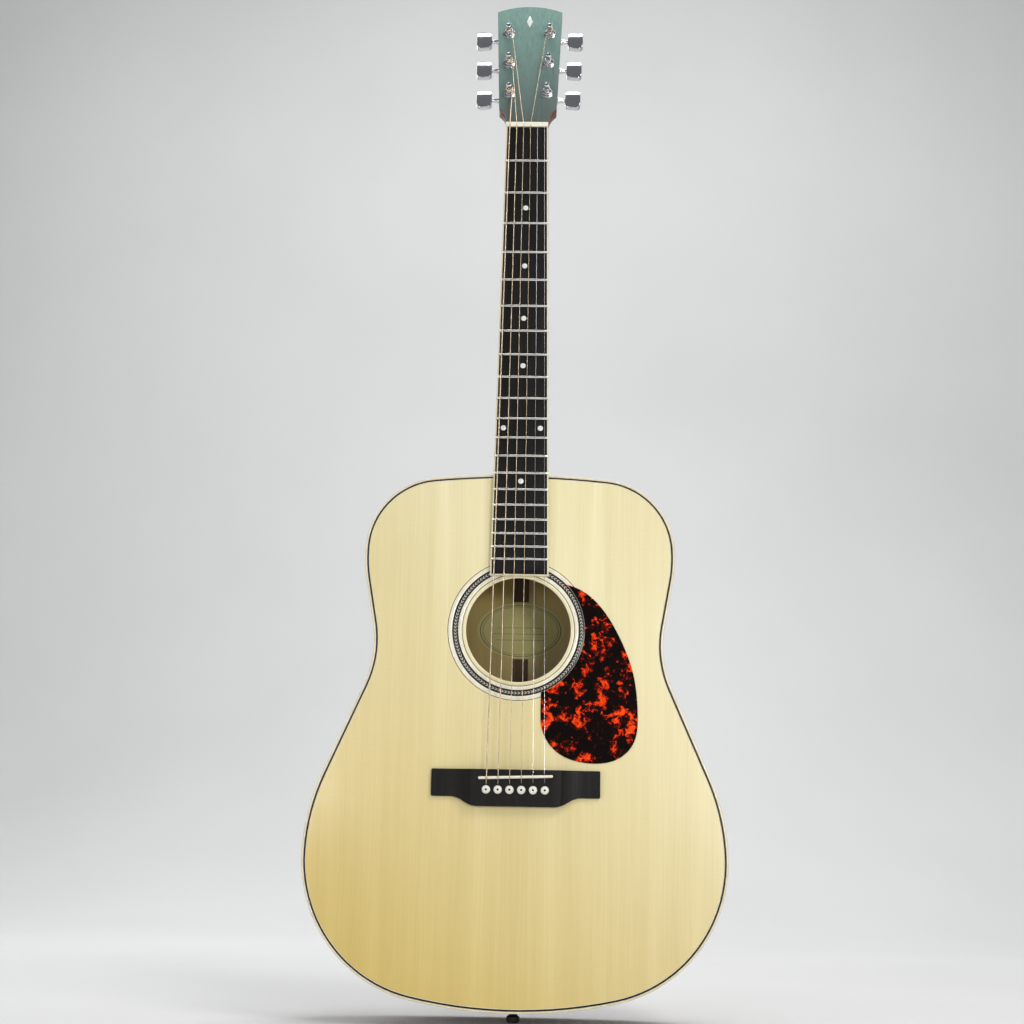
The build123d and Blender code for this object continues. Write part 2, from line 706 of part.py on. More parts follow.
save(bridge.part, "bridge")

with BuildPart() as saddle:
    saddle_top = STRING_HEIGHT_AT_SADDLE - STRING_REST_GAP
    add(saddle_slot(SADDLE_LENGTH, SADDLE_THICKNESS, BRIDGE_HEIGHT - SADDLE_SLOT_DEPTH, saddle_top))
    fillet(saddle.faces().sort_by(Axis.Y)[0].edges(), SADDLE_THICKNESS / 2 - 0.1)
save(saddle.part, "saddle")

BALL_LEVEL = -TOP_THICKNESS - PLATE_THICKNESS - 2.3
BALL_RADIUS, BALL_LENGTH = 2.1, 4.2
PIN_TIP = -14.0
PIN_CAP_RISE = 2.4
PIN_CAP_RADIUS = (PIN_HEAD_RADIUS**2 + PIN_CAP_RISE**2) / (2 * PIN_CAP_RISE)

with BuildPart() as bridge_pins:
    for number in range(6):
        x = (number - 2.5) * PIN_SPACING
        with BuildSketch(Plane(origin=body_point(x, PIN_ROW, 0), x_dir=(1, 0, 0), z_dir=(0, 0, 1))):
            with BuildLine():
                outline = Polyline(
                    (0, -PIN_TIP),
                    (PIN_SHANK_RADIUS - 1.0, -PIN_TIP),
                    (PIN_SHANK_RADIUS, -PIN_TIP - 3),
                    (PIN_SHANK_RADIUS, -BRIDGE_HEIGHT),
                    (PIN_HEAD_RADIUS, -BRIDGE_HEIGHT),
                    (PIN_HEAD_RADIUS, -BRIDGE_HEIGHT - 0.8),
                )
                middle = asin(PIN_HEAD_RADIUS / PIN_CAP_RADIUS) / 2
                crown = -BRIDGE_HEIGHT - 0.8 - PIN_CAP_RISE
                ThreePointArc(
                    outline @ 1,
                    (PIN_CAP_RADIUS * sin(middle), crown + PIN_CAP_RADIUS * (1 - cos(middle))),
                    (0, crown),
                )
                Line((0, crown), (0, -PIN_TIP))
            make_face()
        revolve(axis=Axis(body_point(x, PIN_ROW, 0), (0, 1, 0)))
        groove_z = PIN_ROW + PIN_SHANK_RADIUS
        with BuildSketch(front(PIN_TIP - 1)):
            with Locations((x, groove_z)):
                Circle(BALL_RADIUS + 0.1)
        extrude(amount=BALL_LEVEL + BALL_LENGTH / 2 + 0.1 - PIN_TIP + 1, mode=Mode.SUBTRACT)
    add(string_tunnels(0.1, 0, 2), mode=Mode.SUBTRACT)
save(bridge_pins.part, "bridge_pins")

# ---- fingerboard, frets, dots and nut --------------------------------------------------------------------
BOARD_AXIS = Axis((0, FACE_Y - BOARD_THICKNESS + BOARD_RADIUS, 0), (0, 0, 1))


def board_blank(inset):
    """The fingerboard's plan at an inset, raised from the neck to the cylindrical playing face."""
    with BuildPart() as blank:
        with BuildSketch(front()):
            add(board_outline(inset))
        extrude(amount=BOARD_THICKNESS + 2)
        with BuildSketch(Plane(origin=BOARD_AXIS.position, z_dir=(0, 0, 1))):
            Circle(BOARD_RADIUS)
        extrude(amount=NUT_Z + 10, mode=Mode.INTERSECT)
    return blank.part


def fret_row(low, high, width, crowned, inset):
    """All frets' bars between two heights over the playing face, bent to its radius."""
    face_y = FACE_Y - BOARD_THICKNESS
    with BuildPart() as bars:
        for number in range(1, FRET_COUNT + 1):
            bottom = NUT_Z - fret_distance(number) - width / 2
            with BuildSketch(Plane.YZ):
                with BuildLine():
                    foot = Line((face_y - low, bottom), (face_y - low, bottom + width))
                    if crowned:
                        ThreePointArc(foot @ 1, (face_y - high, bottom + width / 2), foot @ 0)
                    else:
                        Polyline(
                            foot @ 1, (face_y - high, bottom + width), (face_y - high, bottom), foot @ 0
                        )
                make_face()
            revolve(axis=BOARD_AXIS, revolution_arc=4)
        mirror(about=Plane.YZ)
        with BuildSketch(front()):
            add(board_outline(inset))
        extrude(amount=20, mode=Mode.INTERSECT)
    return bars.part


with BuildPart() as frets:
    add(fret_row(0, CROWN_HEIGHT, CROWN_WIDTH, True, 0.3))
    add(fret_row(-TANG_DEPTH, 0, TANG_WIDTH, False, BOARD_BINDING + 0.5))
save(frets.part, "frets")

DOT_RADIUS, DOT_DEPTH = 2.6, 1.5
DOT_PLACES = [(0, 3), (0, 5), (0, 7), (0, 9), (-18, 12), (18, 12), (0, 15)]


def dot_pegs(radius):
    """Round pegs midway between frets, running from the dots' floor to above the playing face."""
    with BuildPart() as pegs:
        with BuildSketch(front(BOARD_THICKNESS - DOT_DEPTH)):
            for x, number in DOT_PLACES:
                z = NUT_Z - (fret_distance(number) + fret_distance(number - 1)) / 2
                with Locations((x, z)):
                    Circle(radius)
        extrude(amount=4)
    return pegs.part


with BuildPart() as position_dots:
    add(board_blank(BOARD_BINDING))
    add(dot_pegs(DOT_RADIUS), mode=Mode.INTERSECT)
save(position_dots.part, "position_dots")

with BuildPart() as fingerboard:
    add(board_blank(BOARD_BINDING))
    add(dot_pegs(DOT_RADIUS), mode=Mode.SUBTRACT)
    add(frets.part, mode=Mode.SUBTRACT)
save(fingerboard.part, "fingerboard")

with BuildPart() as fingerboard_binding:
    add(board_blank(0))
    with BuildSketch(front(-1)):
        add(board_outline(BOARD_BINDING))
    extrude(amount=BOARD_THICKNESS + 6, mode=Mode.SUBTRACT)
save(fingerboard_binding.part, "fingerboard_binding")

with BuildPart() as nut:
    with BuildSketch(front()):
        with Locations((0, NUT_Z + NUT_THICKNESS / 2)):
            Rectangle(NUT_WIDTH, NUT_THICKNESS)
    extrude(amount=NUT_HEIGHT)
    fillet(nut.faces().sort_by(Axis.Y)[0].edges(), 0.8)
    add(string_tunnels(0.02, 2, 4), mode=Mode.SUBTRACT)
save(nut.part, "nut")

# ---- neck, truss rod and headstock -----------------------------------------------------------------------
HEEL_SECTIONS = (
    (82, 16.7),
    (68, 17.8),
    (55, 21.0),
    (44, 28.0),
    (34, 42.0),
    (26, 64.0),
    (19, 90.0),
    (10, 104.0),
    (-2, 110.0),
)


def neck_section(z, depth):
    """Half ellipse under the neck's flat top, as wide as the fingerboard at this height."""
    half_width = board_half_width(min(z, NUT_Z))
    with BuildSketch(Plane(origin=(0, FACE_Y, z), x_dir=(1, 0, 0), z_dir=(0, 0, 1))) as section:
        with BuildLine():
            arc = EllipticalCenterArc((0, 0), half_width, depth, start_angle=0, arc_size=180)
            Line(arc @ 1, arc @ 0)
        make_face()
    return section.sketch


def nut_space():
    """Room for the nut on the neck's top, clear of the wood and of the headplate."""
    with BuildPart() as room:
        with BuildSketch(front(0)):
            with Locations((0, NUT_Z + NUT_THICKNESS / 2 - 2)):
                Rectangle(2 * NUT_WIDTH, NUT_THICKNESS + 4)
        extrude(amount=20)
    return room.part


def head_holes(radius, top):
    """Six round holes for the posts' bushings through the headstock, up to a height over its face."""
    with BuildPart() as holes:
        with BuildSketch(head(HEAD_BACK - 1)):
            with Locations(*[post_place(n) for n in range(6)]):
                Circle(radius)
        extrude(amount=top - HEAD_BACK + 1)
    return holes.part


LUG_DROP = 12.0
SCREW_RADIUS, SCREW_LENGTH = 1.2, 8.0


def screw_places():
    """Where each machine's screw enters the back of the headstock."""
    return [(post_place(n)[0], post_place(n)[1] - LUG_DROP) for n in range(6)]


with BuildPart() as screw_shanks:
    with BuildSketch(head(HEAD_BACK)):
        with Locations(*screw_places()):
            Circle(SCREW_RADIUS)
    extrude(amount=SCREW_LENGTH)

with BuildPart() as neck:
    add(neck_section(NUT_Z + 16, NECK_DEPTH_AT_NUT))
    add(neck_section(BODY_LENGTH + HEEL_SECTIONS[0][0], HEEL_SECTIONS[0][1]))
    loft(ruled=True)
    for rise, depth in HEEL_SECTIONS:
        add(neck_section(BODY_LENGTH + rise, depth))
    loft()
    with BuildSketch(front(-HEEL_DEPTH)):
        Rectangle(400, 3 * BODY_LENGTH)
    extrude(amount=-60, mode=Mode.SUBTRACT)
    with BuildSketch(head(-HEADPLATE_THICKNESS)):
        with Locations((0, 40)):
            Rectangle(200, 80)
    extrude(amount=60, mode=Mode.SUBTRACT)
    with BuildSketch(head(-HEADPLATE_THICKNESS)):
        add(head_outline())
    extrude(amount=-HEAD_THICKNESS)
    with BuildSketch(front()):
        add(body_outline())
    extrude(amount=-ACROSS_BODY, mode=Mode.SUBTRACT)
    add(dovetail())
    add(nut_space(), mode=Mode.SUBTRACT)
    add(truss_channel(), mode=Mode.SUBTRACT)
    add(head_holes(BUSHING_RADIUS, 1), mode=Mode.SUBTRACT)
    add(screw_shanks.part, mode=Mode.SUBTRACT)
save(neck.part, "neck")

with BuildPart() as heel_cap:
    for rise, depth in HEEL_SECTIONS:
        add(neck_section(BODY_LENGTH + rise, depth))
    loft()
    with BuildSketch(front(-HEEL_DEPTH)):
        Rectangle(400, 3 * BODY_LENGTH)
    extrude(amount=-HEEL_CAP_THICKNESS, mode=Mode.INTERSECT)
    with BuildSketch(front()):
        add(body_outline())
    extrude(amount=-ACROSS_BODY, mode=Mode.SUBTRACT)
save(heel_cap.part, "heel_cap")

TRUSS_NUT_LOW, TRUSS_NUT_HIGH = 444.0, 466.0
SPIGOT_RADIUS = 2.4
ROD_AXIS = TRUSS_AXIS - 2


def along_rod(z):
    """Plane across the truss rod's round end at a height z."""
    return Plane(origin=body_point(0, z, ROD_AXIS), x_dir=(1, 0, 0), z_dir=(0, 0, 1))


with BuildPart() as truss_rod:
    low, high = BODY_LENGTH - DOVETAIL_LENGTH + 1, TRUSS_TOP_Z - 0.5
    with BuildSketch(front(-0.2)):
        with Locations((0, (low + high) / 2)):
            Rectangle(2 * TRUSS_HALF_WIDTH - 0.2, high - low)
    extrude(amount=0.3 - TRUSS_DEPTH)
    with BuildSketch(along_rod(TRUSS_NUT_LOW + 8)):
        Circle(SPIGOT_RADIUS)
    extrude(amount=low - TRUSS_NUT_LOW - 8)
save(truss_rod.part, "truss_rod")

with BuildPart() as truss_rod_nut:
    with BuildSketch(along_rod(TRUSS_NUT_LOW)):
        Circle(TRUSS_NUT_RADIUS)
    extrude(amount=TRUSS_NUT_HIGH - TRUSS_NUT_LOW)
    chamfer(truss_rod_nut.edges().filter_by(GeomType.CIRCLE), 0.5)
    with BuildSketch(along_rod(TRUSS_NUT_LOW)):
        RegularPolygon(2.5, 6, major_radius=False)
    extrude(amount=6, mode=Mode.SUBTRACT)
    with BuildSketch(along_rod(TRUSS_NUT_LOW + 7)):
        Circle(SPIGOT_RADIUS + RUNNING_CLEARANCE)
    extrude(amount=30, mode=Mode.SUBTRACT)
save(truss_rod_nut.part, "truss_rod_nut")

INLAY_PLACE = (0, 137.0)
INLAY_RADII = (3.2, 8.0)
HEAD_INLAY_DEPTH = 1.0


def lozenge():
    """Slim diamond let into the headplate near its tip."""
    with BuildPart() as diamond:
        with BuildSketch(head(-HEAD_INLAY_DEPTH)):
            with Locations(INLAY_PLACE):
                Polygon(
                    (-INLAY_RADII[0], 0),
                    (0, -INLAY_RADII[1]),
                    (INLAY_RADII[0], 0),
                    (0, INLAY_RADII[1]),
                    align=None,
                )
        extrude(amount=HEAD_INLAY_DEPTH)
    return diamond.part


with BuildPart() as headstock_inlay:
    add(lozenge())
save(headstock_inlay.part, "headstock_inlay")

with BuildPart() as headplate:
    with BuildSketch(head(-HEADPLATE_THICKNESS)):
        add(head_outline())
    extrude(amount=HEADPLATE_THICKNESS)
    add(nut_space(), mode=Mode.SUBTRACT)
    add(head_holes(BUSHING_RADIUS, 1), mode=Mode.SUBTRACT)
    add(lozenge(), mode=Mode.SUBTRACT)
save(headplate.part, "headplate")

# ---- tuning machines -------------------------------------------------------------------------------------
HOUSING_HALF_WIDTH = 8.0
HOUSING_DOWN, HOUSING_UP = 8.5, 12.8
HOUSING_BOSS_RADIUS, HOUSING_BOSS_LENGTH = 4.0, 3.0
HOUSING_LID = HEAD_BACK - HOUSING_DEPTH
SHAFT_RADIUS = 1.9
WHEEL_HALF_THICKNESS = 1.7
WHEEL_ROOT, WHEEL_TIP = GEAR_PITCH_RADIUS - 0.55, GEAR_PITCH_RADIUS + 0.45
WORM_ROOT, WORM_TIP = WORM_PITCH_RADIUS - 0.55, WORM_PITCH_RADIUS + 0.4
WORM_TURNS = 4
CAVITY_HALF_LENGTH = 4.8
BUTTON_START = 18.7
BUTTON_LENGTH = 16.0
BUTTON_HALF_WIDTHS = (9.8, 11.6)
BUTTON_CORNER = 5.0
BUTTON_SECTION = (13.2, 4.3)
COLLAR_RADII = (3.3, 2.1)
JOURNAL_RADIUS = 2.0


def machine_plane(number, rise=0.0, height=0.0, way=1):
    """Plane on one machine, with local z out of the headstock's face and local x to the right or left."""
    x, s = post_place(number)
    return Plane(origin=head_point(x, s + rise, height), x_dir=(way, 0, 0), z_dir=head().z_dir)


def worm():
    """Right-handed worm about the local Z axis, centred on the origin."""
    half_length = WORM_TURNS * WORM_LEAD / 2
    with BuildPart() as screw:
        Cylinder(WORM_ROOT, 2 * half_length + 1.0)
        with BuildLine():
            thread_path = Helix(
                pitch=WORM_LEAD,
                height=2 * half_length,
                radius=WORM_ROOT,
                center=(0, 0, -half_length),
            )
        with BuildSketch(Plane(origin=(WORM_ROOT, 0, -half_length), x_dir=(1, 0, 0), z_dir=(0, 1, 0))):
            Polygon((-0.2, -0.45), (0.95, -0.18), (0.95, 0.18), (-0.2, 0.45), align=None)
        sweep(path=thread_path, is_frenet=True)
    return screw.part


def key():
    """Button, shaft and worm in one machine's own frame: local x runs out along the shaft."""
    with BuildPart() as turned:
        add(Plane(origin=(0, 0, 0), x_dir=(0, 1, 0), z_dir=(1, 0, 0)).location * worm())
        with BuildSketch(Plane.YZ.offset(WORM_TURNS * WORM_LEAD / 2)):
            Circle(SHAFT_RADIUS)
        extrude(amount=BUTTON_START + 2 - WORM_TURNS * WORM_LEAD / 2)
        collar_start = HOUSING_HALF_WIDTH + HOUSING_BOSS_LENGTH + 0.3
        with BuildSketch():
            Polygon(
                (collar_start, 0),
                (collar_start, COLLAR_RADII[0]),
                (BUTTON_START - 1.5, COLLAR_RADII[1]),
                (BUTTON_START + 1, COLLAR_RADII[1]),
                (BUTTON_START + 1, 0),
                align=None,
            )
        revolve(axis=Axis.X)
        near, far = BUTTON_HALF_WIDTHS
        with BuildPart(mode=Mode.PRIVATE) as button:
            with BuildSketch() as button_plan:
                Polygon(
                    (BUTTON_START, -near),
                    (BUTTON_START + BUTTON_LENGTH, -far),
                    (BUTTON_START + BUTTON_LENGTH, far),
                    (BUTTON_START, near),
                    align=None,
                )
                fillet(button_plan.vertices(), BUTTON_CORNER)
            extrude(amount=BUTTON_SECTION[1] + 0.2, both=True)
            with BuildSketch(Plane.YZ.offset(BUTTON_START - 1)):
                Ellipse(*BUTTON_SECTION)
            extrude(amount=BUTTON_LENGTH + 2, mode=Mode.INTERSECT)
            rims = button.edges().filter_by(lambda edge: abs(edge.center().Z) > 0.8 or edge.length > 12)
            fillet(rims, 0.9)
        add(button.part)
    return turned.part


def post(tooth_angle):
    """String post with its worm wheel in the headstock's directions; heights are over the headplate."""
    floor = HOUSING_LID + 1.2
    wheel_low = GEAR_LEVEL - WHEEL_HALF_THICKNESS
    wheel_high = GEAR_LEVEL + WHEEL_HALF_THICKNESS
    with BuildPart() as turned:
        with BuildSketch(Plane.XZ):
            Polygon(
                (0, floor),
                (JOURNAL_RADIUS, floor),
                (JOURNAL_RADIUS, wheel_low),
                (POST_RADIUS, wheel_low),
                (POST_RADIUS, 4.8),
                (POST_WAIST_RADIUS, 5.6),
                (POST_WAIST_RADIUS, 10.4),
                (POST_RADIUS, 11.2),
                (POST_RADIUS, POST_TOP - 0.8),
                (POST_RADIUS - 0.8, POST_TOP),
                (0, POST_TOP),
                align=None,
            )
        revolve(axis=Axis.Z)
        with BuildSketch(Plane.XY.offset(wheel_low)):
            Circle(WHEEL_ROOT)
            with PolarLocations(0, GEAR_TEETH, start_angle=tooth_angle):
                Polygon(
                    (WHEEL_ROOT - 0.3, -0.5),
                    (WHEEL_TIP, -0.2),
                    (WHEEL_TIP, 0.2),
                    (WHEEL_ROOT - 0.3, 0.5),
                    align=None,
                )
        extrude(amount=wheel_high - wheel_low)
        with BuildSketch(Plane.YZ):
            with Locations((0, WINDING_HEIGHT + 1.6)):
                Circle(0.9)
        extrude(amount=10, both=True, mode=Mode.SUBTRACT)
    return turned.part


def housing():
    """Sealed gear case in one machine's own frame, with one screw lug below it."""
    with BuildPart() as case:
        with BuildSketch(Plane.XY.offset(HOUSING_LID)):
            with Locations((0, (HOUSING_UP - HOUSING_DOWN) / 2)):
                RectangleRounded(2 * HOUSING_HALF_WIDTH, HOUSING_UP + HOUSING_DOWN, 3.0)
        extrude(amount=HOUSING_DEPTH)
        fillet(case.faces().sort_by(Axis.Z)[0].edges(), 2.0)
        with BuildSketch(Plane.XY.offset(HEAD_BACK - 2.0)):
            with Locations((0, -LUG_DROP)):
                Circle(4.0)
            with Locations((0, -LUG_DROP + 3)):
                Rectangle(8, 6)
        extrude(amount=2.0)
        with BuildSketch(Plane(origin=(HOUSING_HALF_WIDTH - 1, WORM_OFFSET, GEAR_LEVEL), z_dir=(1, 0, 0))):
            Circle(HOUSING_BOSS_RADIUS)
        extrude(amount=HOUSING_BOSS_LENGTH + 1)
        with BuildSketch(Plane.XY.offset(GEAR_LEVEL - WHEEL_HALF_THICKNESS - 0.6)):
            Circle(WHEEL_TIP + 0.4)
        extrude(amount=2 * WHEEL_HALF_THICKNESS + 1.2, mode=Mode.SUBTRACT)
        across = Plane(origin=(-CAVITY_HALF_LENGTH, WORM_OFFSET, GEAR_LEVEL), z_dir=(1, 0, 0))
        with BuildSketch(across):
            Circle(WORM_TIP + 0.4)
        extrude(amount=2 * CAVITY_HALF_LENGTH, mode=Mode.SUBTRACT)
        with BuildSketch(across):
            Circle(SHAFT_RADIUS + RUNNING_CLEARANCE)
        extrude(amount=40, mode=Mode.SUBTRACT)
        with BuildSketch(Plane.XY.offset(GEAR_LEVEL)):
            Circle(POST_RADIUS + RUNNING_CLEARANCE)
        extrude(amount=30, mode=Mode.SUBTRACT)
        with BuildSketch(Plane.XY.offset(HOUSING_LID + 1.1)):
            Circle(JOURNAL_RADIUS + RUNNING_CLEARANCE)
        extrude(amount=4, mode=Mode.SUBTRACT)
        with BuildSketch(Plane.XY.offset(HEAD_BACK - 3)):
            with Locations((0, -LUG_DROP)):
                Circle(SCREW_RADIUS)
        extrude(amount=3, mode=Mode.SUBTRACT)
    return case.part


def bushing():
    """Washer, hexagon nut and tube that clamp a machine through the headstock, in the machine's frame."""
    with BuildPart() as collar:
        with BuildSketch(Plane.XY.offset(HEAD_BACK)):
            Circle(BUSHING_RADIUS)
        extrude(amount=4.2 - HEAD_BACK)
        with BuildSketch():
            Circle(WASHER_RADIUS)
        extrude(amount=0.8)
        with BuildSketch(Plane.XY.offset(0.8)):
            RegularPolygon(4.9, 6, major_radius=False)
        extrude(amount=2.6)
        chamfer(collar.faces().filter_by(Plane.XY).sort_by(Axis.Z)[-1].edges(), 0.3)
        with BuildSketch(Plane.XY.offset(HEAD_BACK)):
            Circle(POST_RADIUS + RUNNING_CLEARANCE)
        extrude(amount=40, mode=Mode.SUBTRACT)
    return collar.part


key_shape, bushing_shape = key(), bushing()
treble_housing = housing()
bass_housing = mirror(treble_housing, about=Plane.YZ)
treble_post, bass_post = post(10), post(0)

with BuildPart() as tuner_housings:
    for number in range(6):
        add(machine_plane(number).location * (treble_housing if number > 2 else bass_housing))
save(tuner_housings.part, "tuner_housings")

with BuildPart() as tuner_bushings:
    for number in range(6):
        add(machine_plane(number).location * bushing_shape)
save(tuner_bushings.part, "tuner_bushings")

with BuildPart() as tuner_screws:
    add(screw_shanks.part)
    with BuildSketch(head(HEAD_BACK - 2.0)):
        with Locations(*screw_places()):
            Circle(SCREW_RADIUS)
    extrude(amount=2.0)
    with BuildSketch(head(HEAD_BACK - 2.0)):
        with Locations(*screw_places()):
            Circle(2.3)
    extrude(amount=-1.4)
save(tuner_screws.part, "tuner_screws")

for number, name in enumerate(STRING_NAMES):
    with BuildPart() as tuner_key:
        way = 1 if number > 2 else -1
        add(machine_plane(number, WORM_OFFSET, GEAR_LEVEL, way).location * key_shape)
    save(tuner_key.part, f"tuner_key_{name}")
    with BuildPart() as string_post:
        add(machine_plane(number).location * (treble_post if number > 2 else bass_post))
    save(string_post.part, f"string_post_{name}")

# ---- strings and end pin ---------------------------------------------------------------------------------
for number, name in enumerate(STRING_NAMES):
    radius = STRING_RADII[number]
    route = string_route(number)
    with BuildPart() as string:
        for start, stop in zip(route, route[1:]):
            with BuildSketch(Plane(origin=start, z_dir=stop - start)):
                Circle(radius)
            extrude(amount=(stop - start).length)
        with Locations(*route[1:-1]):
            Sphere(radius)
        with BuildSketch(Plane(origin=(route[0].X, FACE_Y - BALL_LEVEL, route[0].Z), z_dir=(0, -1, 0))):
            Circle(BALL_RADIUS)
        extrude(amount=BALL_LENGTH / 2, both=True)
    save(string.part, f"string_{name}")

with BuildPart() as end_pin:
    with BuildSketch(Plane.XZ):
        Polygon(
            (0, TAIL_BLOCK_LENGTH + 1),
            (END_PIN_SHANK, TAIL_BLOCK_LENGTH + 1),
            (END_PIN_SHANK, 0),
            (7.0, 0),
            (7.0, -1.5),
            (4.0, -3.5),
            (4.0, -6.0),
            (6.5, -8.0),
            (6.5, -11.5),
            (5.0, -13.0),
            (0, -13.0),
            align=None,
        )
    revolve(axis=Axis.Z)
save(end_pin.part, "end_pin")
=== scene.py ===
"""Looks of the acoustic guitar: materials, small detail pieces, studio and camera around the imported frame."""

import bpy
import json
from math import cos, pi, radians, sin
from mathutils import Matrix, Vector


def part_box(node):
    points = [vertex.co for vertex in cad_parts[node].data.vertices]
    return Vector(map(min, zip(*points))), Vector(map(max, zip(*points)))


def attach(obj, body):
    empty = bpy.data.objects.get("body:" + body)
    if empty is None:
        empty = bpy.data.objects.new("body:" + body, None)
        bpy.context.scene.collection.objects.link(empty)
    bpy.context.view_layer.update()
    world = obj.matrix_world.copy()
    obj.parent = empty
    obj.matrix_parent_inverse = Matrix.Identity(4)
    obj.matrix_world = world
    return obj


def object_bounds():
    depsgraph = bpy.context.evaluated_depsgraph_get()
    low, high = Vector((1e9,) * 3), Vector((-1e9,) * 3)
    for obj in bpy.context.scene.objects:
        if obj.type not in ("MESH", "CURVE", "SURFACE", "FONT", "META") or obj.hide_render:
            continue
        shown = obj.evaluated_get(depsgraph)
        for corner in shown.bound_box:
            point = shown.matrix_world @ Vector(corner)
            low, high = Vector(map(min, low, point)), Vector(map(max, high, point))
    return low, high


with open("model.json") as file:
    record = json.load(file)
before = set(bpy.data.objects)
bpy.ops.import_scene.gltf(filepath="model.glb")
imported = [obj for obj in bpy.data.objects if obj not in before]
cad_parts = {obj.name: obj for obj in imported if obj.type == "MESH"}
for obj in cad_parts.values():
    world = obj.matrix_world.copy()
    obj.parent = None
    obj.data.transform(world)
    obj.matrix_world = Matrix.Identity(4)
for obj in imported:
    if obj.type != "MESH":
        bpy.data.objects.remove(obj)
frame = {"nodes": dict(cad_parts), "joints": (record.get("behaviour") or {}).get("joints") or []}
cad_low, cad_high = [list(corner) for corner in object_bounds()]
NODES = frame["nodes"]
JOINTS = {joint["name"]: joint for joint in frame["joints"]}
STRINGS = ("low_e", "a", "d", "g", "b", "high_e")
WOUND = STRINGS[:4]
MM = 0.001

HOLE_RING_RADII = (0.0500, 0.0508)
ROPE_RADII = (0.0574, 0.0632)
ROPE_CHIPS = 120.0
SPRUCE_RINGS = 118.0
PURFLING_STEP = 0.0004

FACE_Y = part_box("soundboard")[0][1]
NUT_LOW, NUT_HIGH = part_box("nut")
ROPE_LOW, ROPE_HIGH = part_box("rosette_rope")
HOLE = Vector(((ROPE_LOW[0] + ROPE_HIGH[0]) / 2, FACE_Y, (ROPE_LOW[2] + ROPE_HIGH[2]) / 2))


# ---- shader graphs ---------------------------------------------------------------------------------------
class Graph:
    """A material's node tree, with short calls for the nodes that this scene uses."""

    def __init__(self, name, roughness=0.4, metallic=0.0, **constants):
        self.material = bpy.data.materials.new(name)
        self.material.use_nodes = True
        self.tree = self.material.node_tree
        self.tree.nodes.clear()
        self.shader = self.tree.nodes.new("ShaderNodeBsdfPrincipled")
        output = self.tree.nodes.new("ShaderNodeOutputMaterial")
        self.tree.links.new(self.shader.outputs[0], output.inputs[0])
        self.set(Roughness=roughness, Metallic=metallic)
        for key, value in constants.items():
            self.shader.inputs[key.replace("_", " ")].default_value = value
        self.place = self.node("ShaderNodeTexCoord").outputs["Object"]
        parts = self.node("ShaderNodeSeparateXYZ", {0: self.place}).outputs
        self.x, self.y, self.z = parts[0], parts[1], parts[2]

    def node(self, kind, inputs=None, **settings):
        made = self.tree.nodes.new(kind)
        for key, value in settings.items():
            setattr(made, key, value)
        for key, value in (inputs or {}).items():
            if isinstance(value, bpy.types.NodeSocket):
                self.tree.links.new(value, made.inputs[key])
            else:
                made.inputs[key].default_value = value
        return made

    def set(self, **sockets):
        for key, value in sockets.items():
            target = self.shader.inputs[key.replace("_", " ")]
            if isinstance(value, bpy.types.NodeSocket):
                self.tree.links.new(value, target)
            elif key.endswith("Color"):
                target.default_value = (*value, 1.0)
            else:
                target.default_value = value

    def math(self, operation, *values):
        return self.node("ShaderNodeMath", dict(enumerate(values)), operation=operation).outputs[0]

    def vector(self, x=0.0, y=0.0, z=0.0):
        return self.node("ShaderNodeCombineXYZ", {0: x, 1: y, 2: z}).outputs[0]

    def stretched(self, x, y, z):
        """Object place with each axis scaled: features are small along an axis with a large number."""
        scaled = self.node("ShaderNodeVectorMath", {0: self.place, 1: (x, y, z)}, operation="MULTIPLY")
        return scaled.outputs[0]

    def noise(self, vector, scale=1.0, detail=3.0, roughness=0.5, distortion=0.0):
        inputs = {"Vector": vector, "Scale": scale, "Detail": detail, "Roughness": roughness}
        return self.node("ShaderNodeTexNoise", {**inputs, "Distortion": distortion}).outputs[0]

    def ramp(self, value, *stops):
        """Colour ramp of (position, (r, g, b)) stops."""
        made = self.node("ShaderNodeValToRGB", {0: value})
        band = made.color_ramp
        while len(band.elements) < len(stops):
            band.elements.new(0.5)
        for element, (position, colour) in zip(band.elements, stops):
            element.position = position
            element.color = (*colour, 1.0)
        return made.outputs[0]

    def mix(self, factor, a, b, blend="MIX"):
        a = (*a, 1.0) if isinstance(a, tuple) else a
        b = (*b, 1.0) if isinstance(b, tuple) else b
        made = self.node("ShaderNodeMix", {0: factor, 6: a, 7: b}, data_type="RGBA", blend_type=blend)
        return made.outputs[2]

    def span(self, value, low, high, to_low=0.0, to_high=1.0):
        """Maps low to high onto to_low to to_high, and holds the ends beyond them."""
        return self.node("ShaderNodeMapRange", {0: value, 1: low, 2: high, 3: to_low, 4: to_high}).outputs[0]

    def line(self, value, centre, half_width, softness):
        """1 on a line where the value is near its centre, 0 elsewhere."""
        away = self.math("ABSOLUTE", self.math("SUBTRACT", value, centre))
        return self.span(away, half_width, half_width + softness, 1.0, 0.0)

    def bump(self, height, strength=0.2, distance=0.0005):
        inputs = {"Height": height, "Strength": strength, "Distance": distance}
        self.set(Normal=self.node("ShaderNodeBump", inputs).outputs[0])


def hole_distance(g):
    """Distance from the sound hole's axis."""
    across = g.math("SUBTRACT", g.x, HOLE.x)
    up = g.math("SUBTRACT", g.z, HOLE.z)
    return g.math("POWER", g.math("ADD", g.math("MULTIPLY", across, across), g.math("MULTIPLY", up, up)), 0.5)


def hole_line(g, inner, outer):
    """1 between two radii around the sound hole, 0 elsewhere."""
    middle, half = (inner + outer) / 2, (outer - inner) / 2
    return g.line(hole_distance(g), middle, half - 0.00003, 0.00006)


